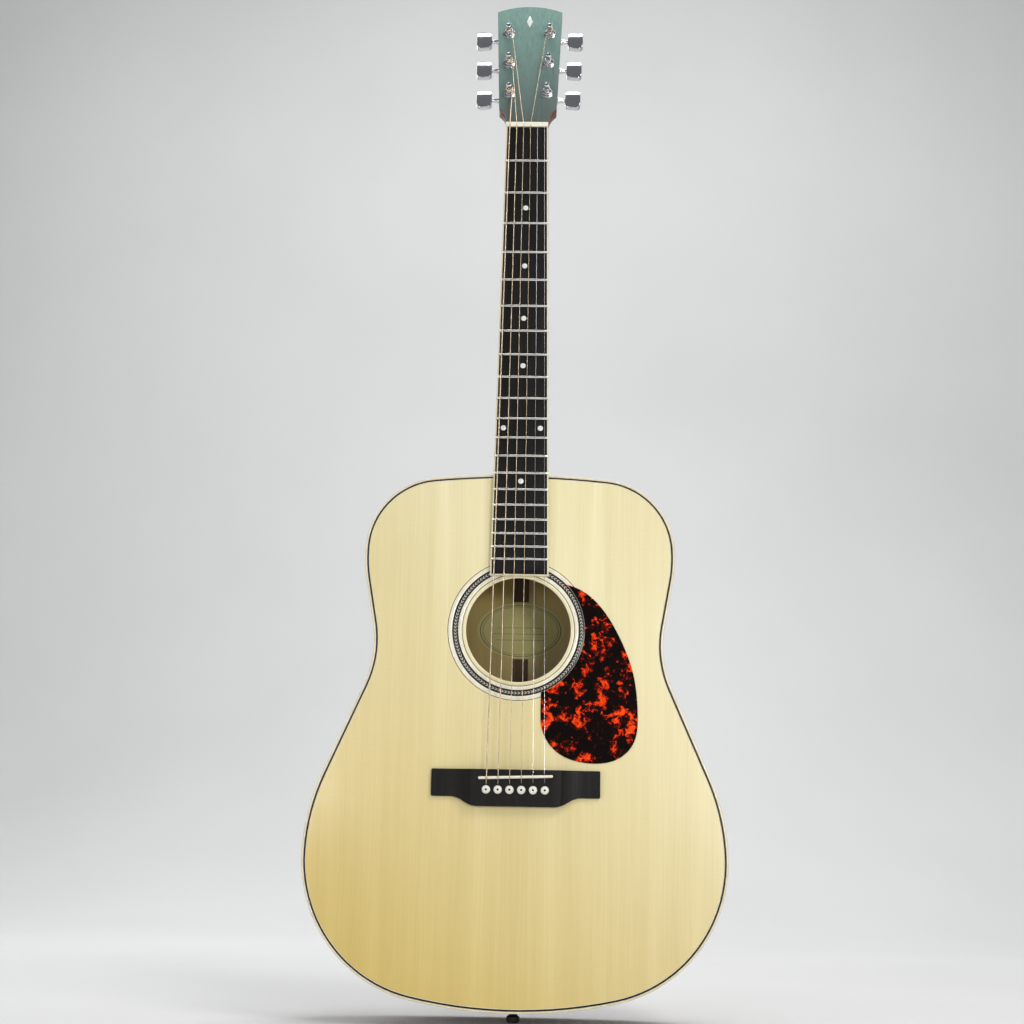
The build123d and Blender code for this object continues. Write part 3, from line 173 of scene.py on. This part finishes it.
def spruce():
    """Book-matched spruce under satin lacquer: fine upright rings, slow streaks and faint silk, and painted
    shade that darkens and warms it towards the lower left.
    """
    g = Graph("spruce_top", 0.34, Coat_Weight=0.35, Coat_Roughness=0.16)
    side = g.math("ABSOLUTE", g.x)
    wander = g.noise(g.vector(side, 0.0, g.math("MULTIPLY", g.z, 0.4)), 7.0, 2.0)
    rings = g.math("ADD", side, g.math("MULTIPLY", wander, 0.010))
    crowd = g.math("POWER", g.math("ABSOLUTE", g.math("DIVIDE", rings, 0.2)), 0.92)
    turn = g.math("FRACT", g.math("MULTIPLY", crowd, SPRUCE_RINGS))
    late = g.math("POWER", turn, 5.0)
    strength = g.noise(g.vector(g.math("MULTIPLY", rings, 60.0), 0.0, g.math("MULTIPLY", g.z, 2.0)), 1.0, 2.0)
    fine = g.noise(g.vector(g.math("MULTIPLY", rings, 520.0), 0.0, g.math("MULTIPLY", g.z, 9.0)), 1.0, 3.0)
    broad = g.noise(g.vector(g.math("MULTIPLY", rings, 42.0), 0.0, g.math("MULTIPLY", g.z, 1.3)), 1.0, 3.0)
    base = g.ramp(
        broad,
        (0.30, (0.690, 0.605, 0.340)),
        (0.52, (0.735, 0.660, 0.390)),
        (0.72, (0.780, 0.710, 0.440)),
    )
    toned = g.mix(g.span(fine, 0.35, 0.7, 0.0, 0.22), base, (0.590, 0.485, 0.235))
    dark = g.math("MULTIPLY", late, g.span(strength, 0.3, 0.7, 0.06, 0.30))
    lined = g.mix(dark, toned, (0.450, 0.320, 0.125))
    silk_place = g.vector(g.math("MULTIPLY", g.x, 55.0), 0.0, g.math("MULTIPLY", g.z, 620.0))
    silk = g.span(g.noise(silk_place, 1.0, 2.0, 0.6), 0.56, 0.72, 0.0, 1.0)
    patch = g.span(g.noise(g.stretched(9.0, 9.0, 13.0), 1.0, 2.0), 0.45, 0.68)
    flecks = g.math("MULTIPLY", g.math("MULTIPLY", silk, patch), 0.16)
    silky = g.mix(flecks, lined, (0.90, 0.78, 0.50))
    # Painted shade: the top is multiplied darker and warmer towards the lower left, where the light falls off.
    lower_left_shade = g.span(g.math("ADD", g.math("MULTIPLY", g.x, 0.8), g.z), 0.42, -0.10)
    shaded_lower_left = g.mix(lower_left_shade, silky, (0.80, 0.66, 0.28), "MULTIPLY")
    g.set(Base_Color=g.mix(hole_line(g, *HOLE_RING_RADII), shaded_lower_left, (0.78, 0.72, 0.55)))
    g.set(Roughness=g.span(fine, 0.2, 0.8, 0.30, 0.42))
    g.bump(g.math("SUBTRACT", g.math("MULTIPLY", fine, 0.4), g.math("MULTIPLY", late, 0.6)), 0.10, 0.0003)
    return g.material


def figured_wood(name, dark, middle, light, along, roughness=0.3, coat=0.6, pores=0.5, inside=None):
    """Lacquered hardwood. along maps a graph to a place whose z runs with the grain; inside is the colour
    of its bare face towards the front, if it has one."""
    g = Graph(name, roughness, Coat_Weight=coat, Coat_Roughness=0.10)
    place = along(g)
    bands = g.noise(place, 1.0, 4.0, 0.55, 0.6)
    body = g.ramp(bands, (0.28, dark), (0.50, middle), (0.74, light))
    squeeze = g.node("ShaderNodeVectorMath", {0: place, 1: (7.0, 7.0, 2.2)}, operation="MULTIPLY")
    fibre = g.noise(squeeze.outputs[0], 1.0, 5.0, 0.65)
    streaked = g.mix(g.span(fibre, 0.42, 0.66, 0.0, 0.40), body, dark)
    tighter = g.node("ShaderNodeVectorMath", {0: place, 1: (30.0, 30.0, 3.5)}, operation="MULTIPLY")
    holes = g.span(g.noise(tighter.outputs[0], 1.0, 2.0, 0.5), 0.60, 0.70)
    black = tuple(0.35 * channel for channel in dark)
    grained = g.mix(g.math("MULTIPLY", holes, pores), streaked, black)
    if inside:
        texture = g.node("ShaderNodeTexCoord").outputs["Normal"]
        forward = g.node("ShaderNodeSeparateXYZ", {0: texture}).outputs[1]
        bare = g.mix(g.span(fibre, 0.35, 0.70, 0.0, 0.45), inside, tuple(0.6 * channel for channel in inside))
        grained = g.mix(g.math("LESS_THAN", forward, -0.7), grained, bare)
    g.set(Base_Color=grained)
    g.set(Roughness=g.span(fibre, 0.2, 0.8, roughness - 0.04, roughness + 0.10))
    g.bump(g.math("SUBTRACT", g.math("MULTIPLY", fibre, 0.3), holes), 0.12, 0.0002)
    return g.material


def back_grain(g):
    """Place along the back's grain, the same on both sides of the centre line."""
    side = g.math("MULTIPLY", g.math("ABSOLUTE", g.x), 62.0)
    return g.vector(side, g.math("MULTIPLY", g.y, 20.0), g.math("MULTIPLY", g.z, 3.4))


def side_grain(g):
    return g.vector(g.math("MULTIPLY", g.x, 4.0), g.math("MULTIPLY", g.y, 85.0), g.math("MULTIPLY", g.z, 4.0))


def upright_grain(scale):
    def place(g):
        return g.stretched(scale, scale, scale / 14)

    return place


def ebony(name, roughness):
    g = Graph(name, roughness, Coat_Weight=0.0, Specular_IOR_Level=0.14)
    fibre = g.noise(g.stretched(900.0, 500.0, 28.0), 1.0, 4.0, 0.6)
    broad = g.noise(g.stretched(120.0, 60.0, 5.0), 1.0, 3.0)
    tone = g.ramp(broad, (0.35, (0.0040, 0.0038, 0.0036)), (0.70, (0.0090, 0.0076, 0.0066)))
    g.set(Base_Color=g.mix(g.span(fibre, 0.55, 0.72, 0.0, 0.40), tone, (0.026, 0.021, 0.018)))
    g.set(Roughness=g.span(fibre, 0.3, 0.7, roughness - 0.06, roughness + 0.12))
    g.bump(fibre, 0.25, 0.00015)
    return g.material


def pale_trim(name, tone=(0.74, 0.66, 0.46)):
    g = Graph(name, 0.3, Coat_Weight=0.5, Coat_Roughness=0.12)
    flame = g.noise(g.stretched(260.0, 260.0, 120.0), 1.0, 4.0, 0.6)
    darker = tuple(0.80 * channel for channel in tone)
    g.set(Base_Color=g.ramp(flame, (0.3, darker), (0.7, tone)))
    g.bump(flame, 0.05, 0.0001)
    return g.material


def dark_trim():
    g = Graph("dark_trim_lines", 0.32, Coat_Weight=0.1, Coat_Roughness=0.12, Specular_IOR_Level=0.2)
    fibre = g.noise(g.stretched(700.0, 700.0, 700.0), 1.0, 3.0)
    g.set(Base_Color=g.ramp(fibre, (0.3, (0.010, 0.009, 0.008)), (0.75, (0.030, 0.026, 0.022))))
    return g.material


def rope():
    """Herringbone of slanted black and white chips between two black borders, all round the sound hole."""
    g = Graph("rosette_herringbone", 0.3, Coat_Weight=0.1, Coat_Roughness=0.12, Specular_IOR_Level=0.2)
    across = g.math("SUBTRACT", g.x, HOLE.x)
    up = g.math("SUBTRACT", g.z, HOLE.z)
    turn = g.math("DIVIDE", g.math("ARCTAN2", up, across), 2 * pi)
    middle = sum(ROPE_RADII) / 2
    from_middle = g.math("ABSOLUTE", g.math("SUBTRACT", hole_distance(g), middle))
    slant = g.math("MULTIPLY", from_middle, 480.0)
    phase = g.math("FRACT", g.math("ADD", g.math("MULTIPLY", turn, ROPE_CHIPS), slant))
    white = g.math("MULTIPLY", g.span(phase, 0.52, 0.58), g.span(phase, 0.92, 0.98, 1.0, 0.0))
    chips = g.math("MULTIPLY", white, g.span(from_middle, 0.00120, 0.00132, 1.0, 0.0))
    g.set(Base_Color=g.mix(chips, (0.010, 0.009, 0.008), (0.50, 0.47, 0.40)))
    g.bump(chips, 0.05, 0.0001)
    return g.material


def back_strip():
    """Narrow marquetry strip down the middle of the back: pale edge lines and small slanted chips."""
    g = Graph("back_centre_marquetry", 0.3, Coat_Weight=0.5, Coat_Roughness=0.12)
    side = g.math("ABSOLUTE", g.x)
    phase = g.math("FRACT", g.math("ADD", g.math("MULTIPLY", g.z, 210.0), g.math("MULTIPLY", side, 210.0)))
    chips = g.math("MULTIPLY", g.span(phase, 0.48, 0.54), g.span(side, 0.0018, 0.0019, 1.0, 0.0))
    pale = g.math("MAXIMUM", chips, g.line(side, 0.0024, 0.00025, 0.0001))
    g.set(Base_Color=g.mix(pale, (0.016, 0.010, 0.007), (0.52, 0.42, 0.26)))
    g.bump(pale, 0.05, 0.0001)
    return g.material


def tortoise():
    """Black celluloid with ragged red-orange clouds, deeper red at their edges."""
    g = Graph("tortoise_celluloid", 0.10, Coat_Weight=0.0, Specular_IOR_Level=0.18)
    warp = g.node("ShaderNodeTexNoise", {"Vector": g.place, "Scale": 150.0, "Detail": 3.0}).outputs[1]
    push = g.node("ShaderNodeVectorMath", {0: warp, 1: (0.011, 0.011, 0.011)}, operation="MULTIPLY")
    moved = g.node("ShaderNodeVectorMath", {0: g.place, 1: push.outputs[0]}, operation="ADD").outputs[0]
    clouds = g.noise(moved, 74.0, 4.0, 0.62, 0.2)
    specks = g.noise(moved, 310.0, 3.0, 0.6)
    mass = g.math("ADD", clouds, g.math("MULTIPLY", g.math("SUBTRACT", specks, 0.5), 0.22))
    colour = g.ramp(
        mass,
        (0.50, (0.004, 0.0020, 0.0015)),
        (0.545, (0.070, 0.003, 0.0015)),
        (0.575, (0.600, 0.026, 0.003)),
        (0.67, (0.950, 0.090, 0.008)),
    )
    g.set(Base_Color=colour)
    return g.material


def lacquered_plate():
    """Dark grey-green veneer with a soft upright brushing under satin lacquer, and a painted sheen that makes
    it lighter and greener towards the top.
    """
    g = Graph("headplate_veneer", 0.36, Coat_Weight=0.15, Coat_Roughness=0.2, Specular_IOR_Level=0.35)
    fibre = g.noise(g.stretched(420.0, 420.0, 14.0), 1.0, 4.0, 0.6)
    # Painted sheen: the plate's colour grows lighter and greener from the nut upwards.
    top = g.span(g.z, NUT_HIGH[2], NUT_HIGH[2] + 0.14)
    tint = g.mix(top, (0.078, 0.098, 0.092), (0.165, 0.290, 0.250))
    g.set(Base_Color=g.mix(g.span(fibre, 0.35, 0.7, 0.0, 0.35), tint, (0.060, 0.085, 0.080)))
    g.set(Roughness=g.span(fibre, 0.2, 0.8, 0.32, 0.44))
    g.bump(fibre, 0.08, 0.0001)
    return g.material


def bone(name, tone):
    g = Graph(name, 0.28, Subsurface_Weight=0.15, Subsurface_Scale=0.001)
    cloud = g.noise(g.place, 480.0, 4.0, 0.6)
    duller = tuple(0.86 * channel for channel in tone)
    g.set(Base_Color=g.ramp(cloud, (0.3, duller), (0.65, tone)))
    g.bump(cloud, 0.05, 0.0001)
    return g.material


def pearl():
    g = Graph("pearl_shell", 0.16, Coat_Weight=0.8, Coat_Roughness=0.05)
    swirl = g.noise(g.place, 620.0, 3.0, 0.5, 2.5)
    colour = g.ramp(
        swirl,
        (0.30, (0.50, 0.56, 0.55)),
        (0.45, (0.74, 0.72, 0.70)),
        (0.55, (0.62, 0.68, 0.60)),
        (0.70, (0.82, 0.80, 0.78)),
    )
    g.set(Base_Color=colour)
    return g.material


def plated(name, tone, roughness):
    """Polished plating with faint handling marks in its gloss."""
    g = Graph(name, roughness, 1.0)
    smears = g.noise(g.place, 160.0, 4.0, 0.65, 0.8)
    g.set(Base_Color=g.ramp(smears, (0.3, tuple(0.93 * channel for channel in tone)), (0.7, tone)))
    g.set(Roughness=g.span(smears, 0.35, 0.75, roughness, roughness + 0.10))
    return g.material


def wire(name, tone, roughness, pitch=0.0):
    """String wire; a pitch gives the ridges of its winding, with painted shade in the grooves between them."""
    g = Graph(name, roughness, 1.0)
    dull = g.noise(g.place, 900.0, 3.0, 0.6)
    bright = g.ramp(dull, (0.3, tuple(0.75 * channel for channel in tone)), (0.7, tone))
    if pitch:
        ridge = g.math("SINE", g.math("MULTIPLY", g.z, 2 * pi / pitch))
        # Painted shade: the grooves between the windings are darkened.
        shade = g.span(ridge, -1.0, 0.2, 0.45, 0.0)
        bright = g.mix(shade, bright, tuple(0.25 * channel for channel in tone))
        g.bump(ridge, 0.5, 0.00006)
    g.set(Base_Color=bright)
    return g.material


def plastic(name, tone, roughness):
    g = Graph(name, roughness, Coat_Weight=0.2, Coat_Roughness=0.1)
    cloud = g.noise(g.place, 700.0, 3.0, 0.6)
    g.set(Base_Color=g.ramp(cloud, (0.3, tuple(0.9 * channel for channel in tone)), (0.7, tone)))
    g.set(Roughness=g.span(cloud, 0.3, 0.7, roughness - 0.04, roughness + 0.08))
    return g.material


def label_paper():
    """Olive paper oval with two border lines and a few blank ruled lines."""
    g = Graph("label_paper_oval", 0.75)
    low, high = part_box("label")
    half_x, half_z = (high[0] - low[0]) / 2, (high[2] - low[2]) / 2
    across = g.math("DIVIDE", g.math("SUBTRACT", g.x, (low[0] + high[0]) / 2), half_x)
    up = g.math("DIVIDE", g.math("SUBTRACT", g.z, (low[2] + high[2]) / 2), half_z)
    ring = g.math("POWER", g.math("ADD", g.math("MULTIPLY", across, across), g.math("MULTIPLY", up, up)), 0.5)
    ink = g.line(ring, 0.93, 0.008, 0.004)
    ink = g.math("MAXIMUM", ink, g.line(ring, 0.87, 0.004, 0.004))
    for height, reach in ((0.10, 0.52), (-0.12, 0.62), (-0.34, 0.55)):
        inside = g.span(g.math("ABSOLUTE", across), reach, reach + 0.01, 0.7, 0.0)
        ink = g.math("MAXIMUM", ink, g.math("MULTIPLY", g.line(up, height, 0.008, 0.006), inside))
    grain = g.noise(g.place, 1400.0, 3.0, 0.6)
    paper = g.ramp(grain, (0.3, (0.500, 0.450, 0.165)), (0.7, (0.580, 0.520, 0.215)))
    g.set(Base_Color=g.mix(ink, paper, (0.110, 0.095, 0.040)))
    g.bump(grain, 0.15, 0.0001)
    return g.material


# Each wood is its dark, middle and light tones.
BODY_WOOD = ((0.050, 0.020, 0.010), (0.115, 0.050, 0.022), (0.190, 0.092, 0.040))
NECK_WOOD = ((0.090, 0.032, 0.015), (0.165, 0.066, 0.030), (0.235, 0.105, 0.050))
BARE_WOOD = ((0.42, 0.29, 0.15), (0.56, 0.42, 0.24), (0.64, 0.51, 0.31))
# Partly painted shade: the centre strip's dark wood is made darker still to stand in for the shade inside the
# body, above and below the label.
SEAM_WOOD_AND_SHADE = ((0.045, 0.022, 0.008), (0.080, 0.042, 0.015), (0.120, 0.068, 0.026))
BACK_INSIDE = (0.50, 0.36, 0.085)
CHROME = (0.64, 0.64, 0.66)

spruce_look = spruce()
back_look = figured_wood("back_hardwood", *BODY_WOOD, back_grain, inside=BACK_INSIDE)
side_look = figured_wood("side_hardwood", *BODY_WOOD, side_grain)
neck_look = figured_wood("neck_mahogany", *NECK_WOOD, upright_grain(70.0), 0.38, 0.25, 0.6)
seam_and_shade_look = figured_wood("seam_walnut_and_shade", *SEAM_WOOD_AND_SHADE, upright_grain(120.0), 0.7, 0.0, 0.3)
bare_look = figured_wood("bare_spruce", *BARE_WOOD, upright_grain(120.0), 0.6, 0.0, 0.1)
board_look = ebony("fingerboard_ebony", 0.46)
bridge_look = ebony("bridge_ebony", 0.40)
binding_look = pale_trim("maple_binding")
band_look = pale_trim("rosette_band_wood", (0.80, 0.74, 0.58))
dark_look = dark_trim()
rope_look = rope()
strip_look = back_strip()
tortoise_look = tortoise()
plate_look = lacquered_plate()
bone_look = bone("polished_bone", (0.80, 0.76, 0.62))
pin_look = bone("ivory_pins", (0.84, 0.82, 0.74))
pearl_look = pearl()
chrome_look = plated("chrome_plate", CHROME, 0.07)
gear_look = plated("bright_steel", (0.56, 0.56, 0.57), 0.25)
fret_look = plated("nickel_silver", (0.74, 0.73, 0.69), 0.16)
plain_look = wire("plain_steel_wire", (0.72, 0.72, 0.74), 0.18)
wound_look = wire("bronze_wound_wire", (0.80, 0.66, 0.48), 0.26, 0.00042)
label_look = label_paper()
black_look = plastic("black_plastic_gloss", (0.012, 0.012, 0.013), 0.22)

LOOKS = {
    "soundboard": spruce_look,
    "back_plate": back_look,
    "back_inlay_strip": strip_look,
    "bass_side": side_look,
    "treble_side": side_look,
    "tail_graft": binding_look,
    "top_binding": binding_look,
    "back_binding": binding_look,
    "top_purfling": dark_look,
    "neck_block": neck_look,
    "tail_block": neck_look,
    "top_linings": bare_look,
    "back_linings": bare_look,
    "x_braces": bare_look,
    "transverse_brace": bare_look,
    "small_braces": bare_look,
    "bridge_plate": binding_look,
    "back_braces": bare_look,
    "back_seam_strips": seam_and_shade_look,
    "label": label_look,
    "rosette_lines": dark_look,
    "rosette_bands": band_look,
    "rosette_rope": rope_look,
    "pickguard": tortoise_look,
    "bridge": bridge_look,
    "saddle": bone_look,
    "bridge_pins": pin_look,
    "frets": fret_look,
    "position_dots": pearl_look,
    "fingerboard": board_look,
    "fingerboard_binding": binding_look,
    "nut": bone_look,
    "neck": neck_look,
    "heel_cap": binding_look,
    "truss_rod": gear_look,
    "truss_rod_nut": gear_look,
    "headstock_inlay": pearl_look,
    "headplate": plate_look,
    "tuner_housings": chrome_look,
    "tuner_bushings": chrome_look,
    "tuner_screws": chrome_look,
    "end_pin": black_look,
}
for name in STRINGS:
    LOOKS[f"string_{name}"] = wound_look if name in WOUND else plain_look
    LOOKS[f"tuner_key_{name}"] = chrome_look
    LOOKS[f"string_post_{name}"] = chrome_look

# Widths of the broken edges, mm.
EDGES = {
    "bridge": 0.9,
    "headplate": 0.35,
    "pickguard": 0.4,
    "nut": 0.2,
    "top_binding": 0.7,
    "back_binding": 0.7,
    "tuner_bushings": 0.25,
    "tuner_housings": 0.4,
    "fingerboard_binding": 0.3,
    "heel_cap": 0.3,
    "end_pin": 0.5,
}
KEY_EDGE = 0.5


def dress(name, look):
    """Gives a frame node its material, clean shading and softly broken edges."""
    thing = NODES[name]
    mesh = thing.data
    mesh.materials.clear()
    mesh.materials.append(look)
    for polygon in mesh.polygons:
        polygon.material_index = 0
    mesh.shade_smooth()
    weld = thing.modifiers.new("weld", "WELD")
    weld.merge_threshold = 1e-6
    if name in EDGES or name.startswith("tuner_key"):
        bevel = thing.modifiers.new("edges", "BEVEL")
        bevel.width = EDGES.get(name, KEY_EDGE) * MM
        bevel.segments = 2
        bevel.limit_method = "ANGLE"
        bevel.angle_limit = radians(32)
        bevel.harden_normals = False
    even = thing.modifiers.new("even", "WEIGHTED_NORMAL")
    even.keep_sharp = True


def rim_lines():
    """The purfling's two rings: the outer is dark, and the inner, which reaches less far, is pale."""
    mesh = NODES["top_purfling"].data
    owner = {}

    def root(key):
        while owner[key] != key:
            owner[key] = owner[owner[key]]
            key = owner[key]
        return key

    keys = [tuple(round(value, 6) for value in vertex.co) for vertex in mesh.vertices]
    for key in keys:
        owner.setdefault(key, key)
    for polygon in mesh.polygons:
        first = root(keys[polygon.vertices[0]])
        for corner in polygon.vertices[1:]:
            owner[root(keys[corner])] = first
    reach = {}
    for key in owner:
        ring = root(key)
        reach[ring] = max(reach.get(ring, 0.0), key[0])
    widest = max(reach.values())
    mesh.materials.append(band_look)
    for polygon in mesh.polygons:
        ring = root(keys[polygon.vertices[0]])
        polygon.material_index = 0 if reach[ring] > widest - PURFLING_STEP else 1


for node_name, look in LOOKS.items():
    dress(node_name, look)
rim_lines()


# ---- detail pieces ---------------------------------------------------------------------------------------
def piece(name, verts, faces, look, body):
    """New mesh piece that rides on a body."""
    mesh = bpy.data.meshes.new(name)
    mesh.from_pydata([tuple(v) for v in verts], [], faces)
    mesh.update()
    mesh.materials.append(look)
    mesh.shade_smooth()
    thing = bpy.data.objects.new(name, mesh)
    bpy.context.scene.collection.objects.link(thing)
    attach(thing, body)


def turned(profile, axis_point, axis, segments):
    """Rings of a turned shape: profile is (radius, distance along the axis) from one pole to the other."""
    axis = Vector(axis).normalized()
    across = axis.orthogonal().normalized()
    other = axis.cross(across)
    verts, faces = [], []
    for radius, along in profile:
        for step in range(segments):
            angle = 2 * pi * step / segments
            out = (across * cos(angle) + other * sin(angle)) * radius
            verts.append(Vector(axis_point) + axis * along + out)
    for row in range(len(profile) - 1):
        for step in range(segments):
            a, b = row * segments + step, row * segments + (step + 1) % segments
            faces.append((a, b, b + segments, a + segments))
    faces.append(tuple(reversed(range(segments))))
    last = (len(profile) - 1) * segments
    faces.append(tuple(range(last, last + segments)))
    return verts, faces


def tube(name, points, radius, look, body):
    """Round wire along a list of points, as a bevelled curve."""
    curve = bpy.data.curves.new(name, "CURVE")
    curve.dimensions = "3D"
    curve.bevel_depth = radius
    curve.bevel_resolution = 4
    curve.use_fill_caps = True
    spline = curve.splines.new("POLY")
    spline.points.add(len(points) - 1)
    for target, point in zip(spline.points, points):
        target.co = (*point, 1.0)
    curve.materials.append(look)
    thing = bpy.data.objects.new(name, curve)
    bpy.context.scene.collection.objects.link(thing)
    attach(thing, body)


PIN_COUNT = 6
PIN_HEAD_RADIUS = 3.9 * MM
pins_low, pins_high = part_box("bridge_pins")
pin_step = (pins_high[0] - pins_low[0] - 2 * PIN_HEAD_RADIUS) / (PIN_COUNT - 1)
dot_verts, dot_faces = [], []
for index in range(PIN_COUNT):
    top = Vector((
        pins_low[0] + PIN_HEAD_RADIUS + index * pin_step,
        pins_low[1] + 0.30 * MM,
        pins_low[2] + PIN_HEAD_RADIUS,
    ))
    shape = ((1.15 * MM, 0.0), (1.10 * MM, 0.26 * MM), (0.8 * MM, 0.34 * MM), (0.3 * MM, 0.38 * MM))
    verts, faces = turned(shape, top, (0, -1, 0), 24)
    shift = len(dot_verts)
    dot_verts += verts
    dot_faces += [tuple(corner + shift for corner in face) for face in faces]
piece("pin_dots", dot_verts, dot_faces, black_look, "guitar")

# Radius of each string in mm, and how often it goes round its post.
COIL_RADIUS = {"low_e": 0.68, "a": 0.53, "d": 0.41, "g": 0.31, "b": 0.20, "high_e": 0.15}
COIL_TURNS = {"low_e": 1.4, "a": 1.9, "d": 2.6, "g": 3.0, "b": 4.0, "high_e": 4.5}
WAIST_RADIUS = 2.4 * MM
HOLE_HEIGHT = 9.4 * MM
ARRIVAL_HEIGHT = 7.8 * MM
COIL_GAP = 0.1 * MM
STEPS_PER_TURN = 28
TAIL_STEPS = 14
TAIL_ANGLE = -1.2 * pi
TAIL_STUB = 0.6 * MM


def string_end(name, centre, axis):
    """Direction from a post's axis to the place where its string arrives."""
    corners = [v.co for v in NODES[f"string_{name}"].data.vertices]
    highest = max(corner.z for corner in corners)
    cap = [corner for corner in corners if corner.z > highest - 2.2 * COIL_RADIUS[name] * MM]
    middle = sum(cap, Vector()) / len(cap)
    away = middle - centre
    return (away - axis * away.dot(axis)).normalized()


for name in STRINGS:
    joint = JOINTS[f"post_{name}_turn"]
    centre = Vector(joint["pos_m"])
    axis = Vector(joint["axis"]).normalized()
    start = string_end(name, centre, axis)
    way = 1 if centre.x < 0 else -1
    side = axis.cross(start) * way
    radius = COIL_RADIUS[name] * MM
    reach = WAIST_RADIUS + radius + COIL_GAP
    turns = COIL_TURNS[name]
    steps = int(turns * STEPS_PER_TURN)
    drop = 2.02 * radius * turns
    path = []
    for step in range(steps + 1):
        angle = 2 * pi * turns * step / steps
        height = ARRIVAL_HEIGHT - drop * step / steps
        path.append(centre + (start * cos(angle) + side * sin(angle)) * reach + axis * height)
    coil_look = wound_look if name in WOUND else plain_look
    tube(f"string_coil_{name}", path, radius, coil_look, f"post_{name}")
    over = []
    for step in range(TAIL_STEPS + 1):
        share = step / TAIL_STEPS
        angle = TAIL_ANGLE * share
        height = ARRIVAL_HEIGHT + (HOLE_HEIGHT - ARRIVAL_HEIGHT) * share
        over.append(centre + (start * cos(angle) + side * sin(angle)) * reach + axis * height)
    tail = (over[-1] - centre - axis * HOLE_HEIGHT).normalized()
    over.append(centre + tail * (reach + TAIL_STUB) + axis * (HOLE_HEIGHT + 0.1 * MM))
    tube(f"string_tail_{name}", over, radius, coil_look, f"post_{name}")


# ---- studio ----------------------------------------------------------------------------------------------
def backdrop():
    """Pale floor that rises behind the object in one soft curve."""
    floor_z = cad_low[2] - 0.0005
    bend_start, bend_radius, wall_top = 1.5, 1.6, 5.0
    line = [(-6.0, floor_z), (bend_start, floor_z)]
    for step in range(1, 25):
        angle = pi / 2 * step / 24
        line.append((bend_start + bend_radius * sin(angle), floor_z + bend_radius * (1 - cos(angle))))
    line.append((bend_start + bend_radius, wall_top))
    verts = [(x, y, z) for y, z in line for x in (-9.0, 9.0)]
    faces = [(2 * i, 2 * i + 1, 2 * i + 3, 2 * i + 2) for i in range(len(line) - 1)]
    mesh = bpy.data.meshes.new("backdrop")
    mesh.from_pydata(verts, [], faces)
    mesh.shade_smooth()
    g = Graph("backdrop_paper", 0.85)
    cloud = g.noise(g.place, 2.0, 2.0)
    g.set(Base_Color=g.ramp(cloud, (0.3, (0.72, 0.72, 0.715)), (0.7, (0.75, 0.75, 0.745))))
    mesh.materials.append(g.material)
    thing = bpy.data.objects.new("backdrop", mesh)
    bpy.context.scene.collection.objects.link(thing)


def lamp(name, place, target, size, power, tint=(1.0, 1.0, 1.0)):
    light = bpy.data.lights.new(name, "AREA")
    light.shape = "RECTANGLE"
    light.size, light.size_y = size
    light.energy = power
    light.color = tint
    thing = bpy.data.objects.new(name, light)
    thing.location = place
    thing.rotation_euler = (Vector(target) - Vector(place)).to_track_quat("-Z", "Y").to_euler()
    bpy.context.scene.collection.objects.link(thing)


backdrop()
MIDDLE = (0.0, 0.0, 0.5)
lamp("key_light", (0.95, -1.25, 1.55), (0.05, 0.0, 0.5), (0.8, 0.8), 15.0, (1.0, 0.99, 0.97))
lamp("fill_light", (-2.4, -1.8, 1.1), MIDDLE, (1.8, 1.8), 18.0, (0.96, 0.98, 1.0))
lamp("low_light_right", (0.66, -1.9, 0.42), (0.0, 0.0, 0.38), (0.3, 0.3), 11.5)
lamp("low_light_left", (-0.60, -1.9, 0.36), (0.0, 0.0, 0.38), (0.3, 0.3), 4.0)
lamp("top_light", (0.1, -0.28, 2.85), (0.0, 0.0, 0.9), (1.5, 0.6), 17.0)
lamp("rear_light", (0.6, 1.6, 2.6), MIDDLE, (1.6, 1.0), 16.0)
lamp("wall_light", (0.0, 1.2, 2.7), (0.0, 3.0, 0.9), (2.6, 0.8), 30.0)
lamp("back_light", (-1.2, 1.3, 1.6), MIDDLE, (1.0, 1.0), 10.0)

world = bpy.data.worlds.new("studio_world")
world.use_nodes = True
world.node_tree.nodes["Background"].inputs[0].default_value = (0.92, 0.95, 1.0, 1.0)
world.node_tree.nodes["Background"].inputs[1].default_value = 0.20
bpy.context.scene.world = world
bpy.context.scene.view_settings.view_transform = "Standard"

# ---- camera ----------------------------------------------------------------------------------------------
LENS = 58.0
CAMERA_PLACE = (0.0337, FACE_Y - 1.5628, NUT_LOW[2] - 0.7176)
camera_data = bpy.data.cameras.new("camera")
camera_data.sensor_width = 36.0
camera_data.lens = LENS
camera = bpy.data.objects.new("camera", camera_data)
bpy.context.scene.collection.objects.link(camera)
right = Vector((0.99956, 0.0230, 0.0185)).normalized()
ahead = Vector((-0.0263, 0.9792, 0.2012))
ahead = (ahead - right * ahead.dot(right)).normalized()
upward = right.cross(ahead)
turn = Matrix((right, upward, -ahead)).transposed().to_4x4()
camera.matrix_world = Matrix.Translation(CAMERA_PLACE) @ turn
camera_data.clip_start, camera_data.clip_end = 0.05, 40.0
bpy.context.scene.camera = camera
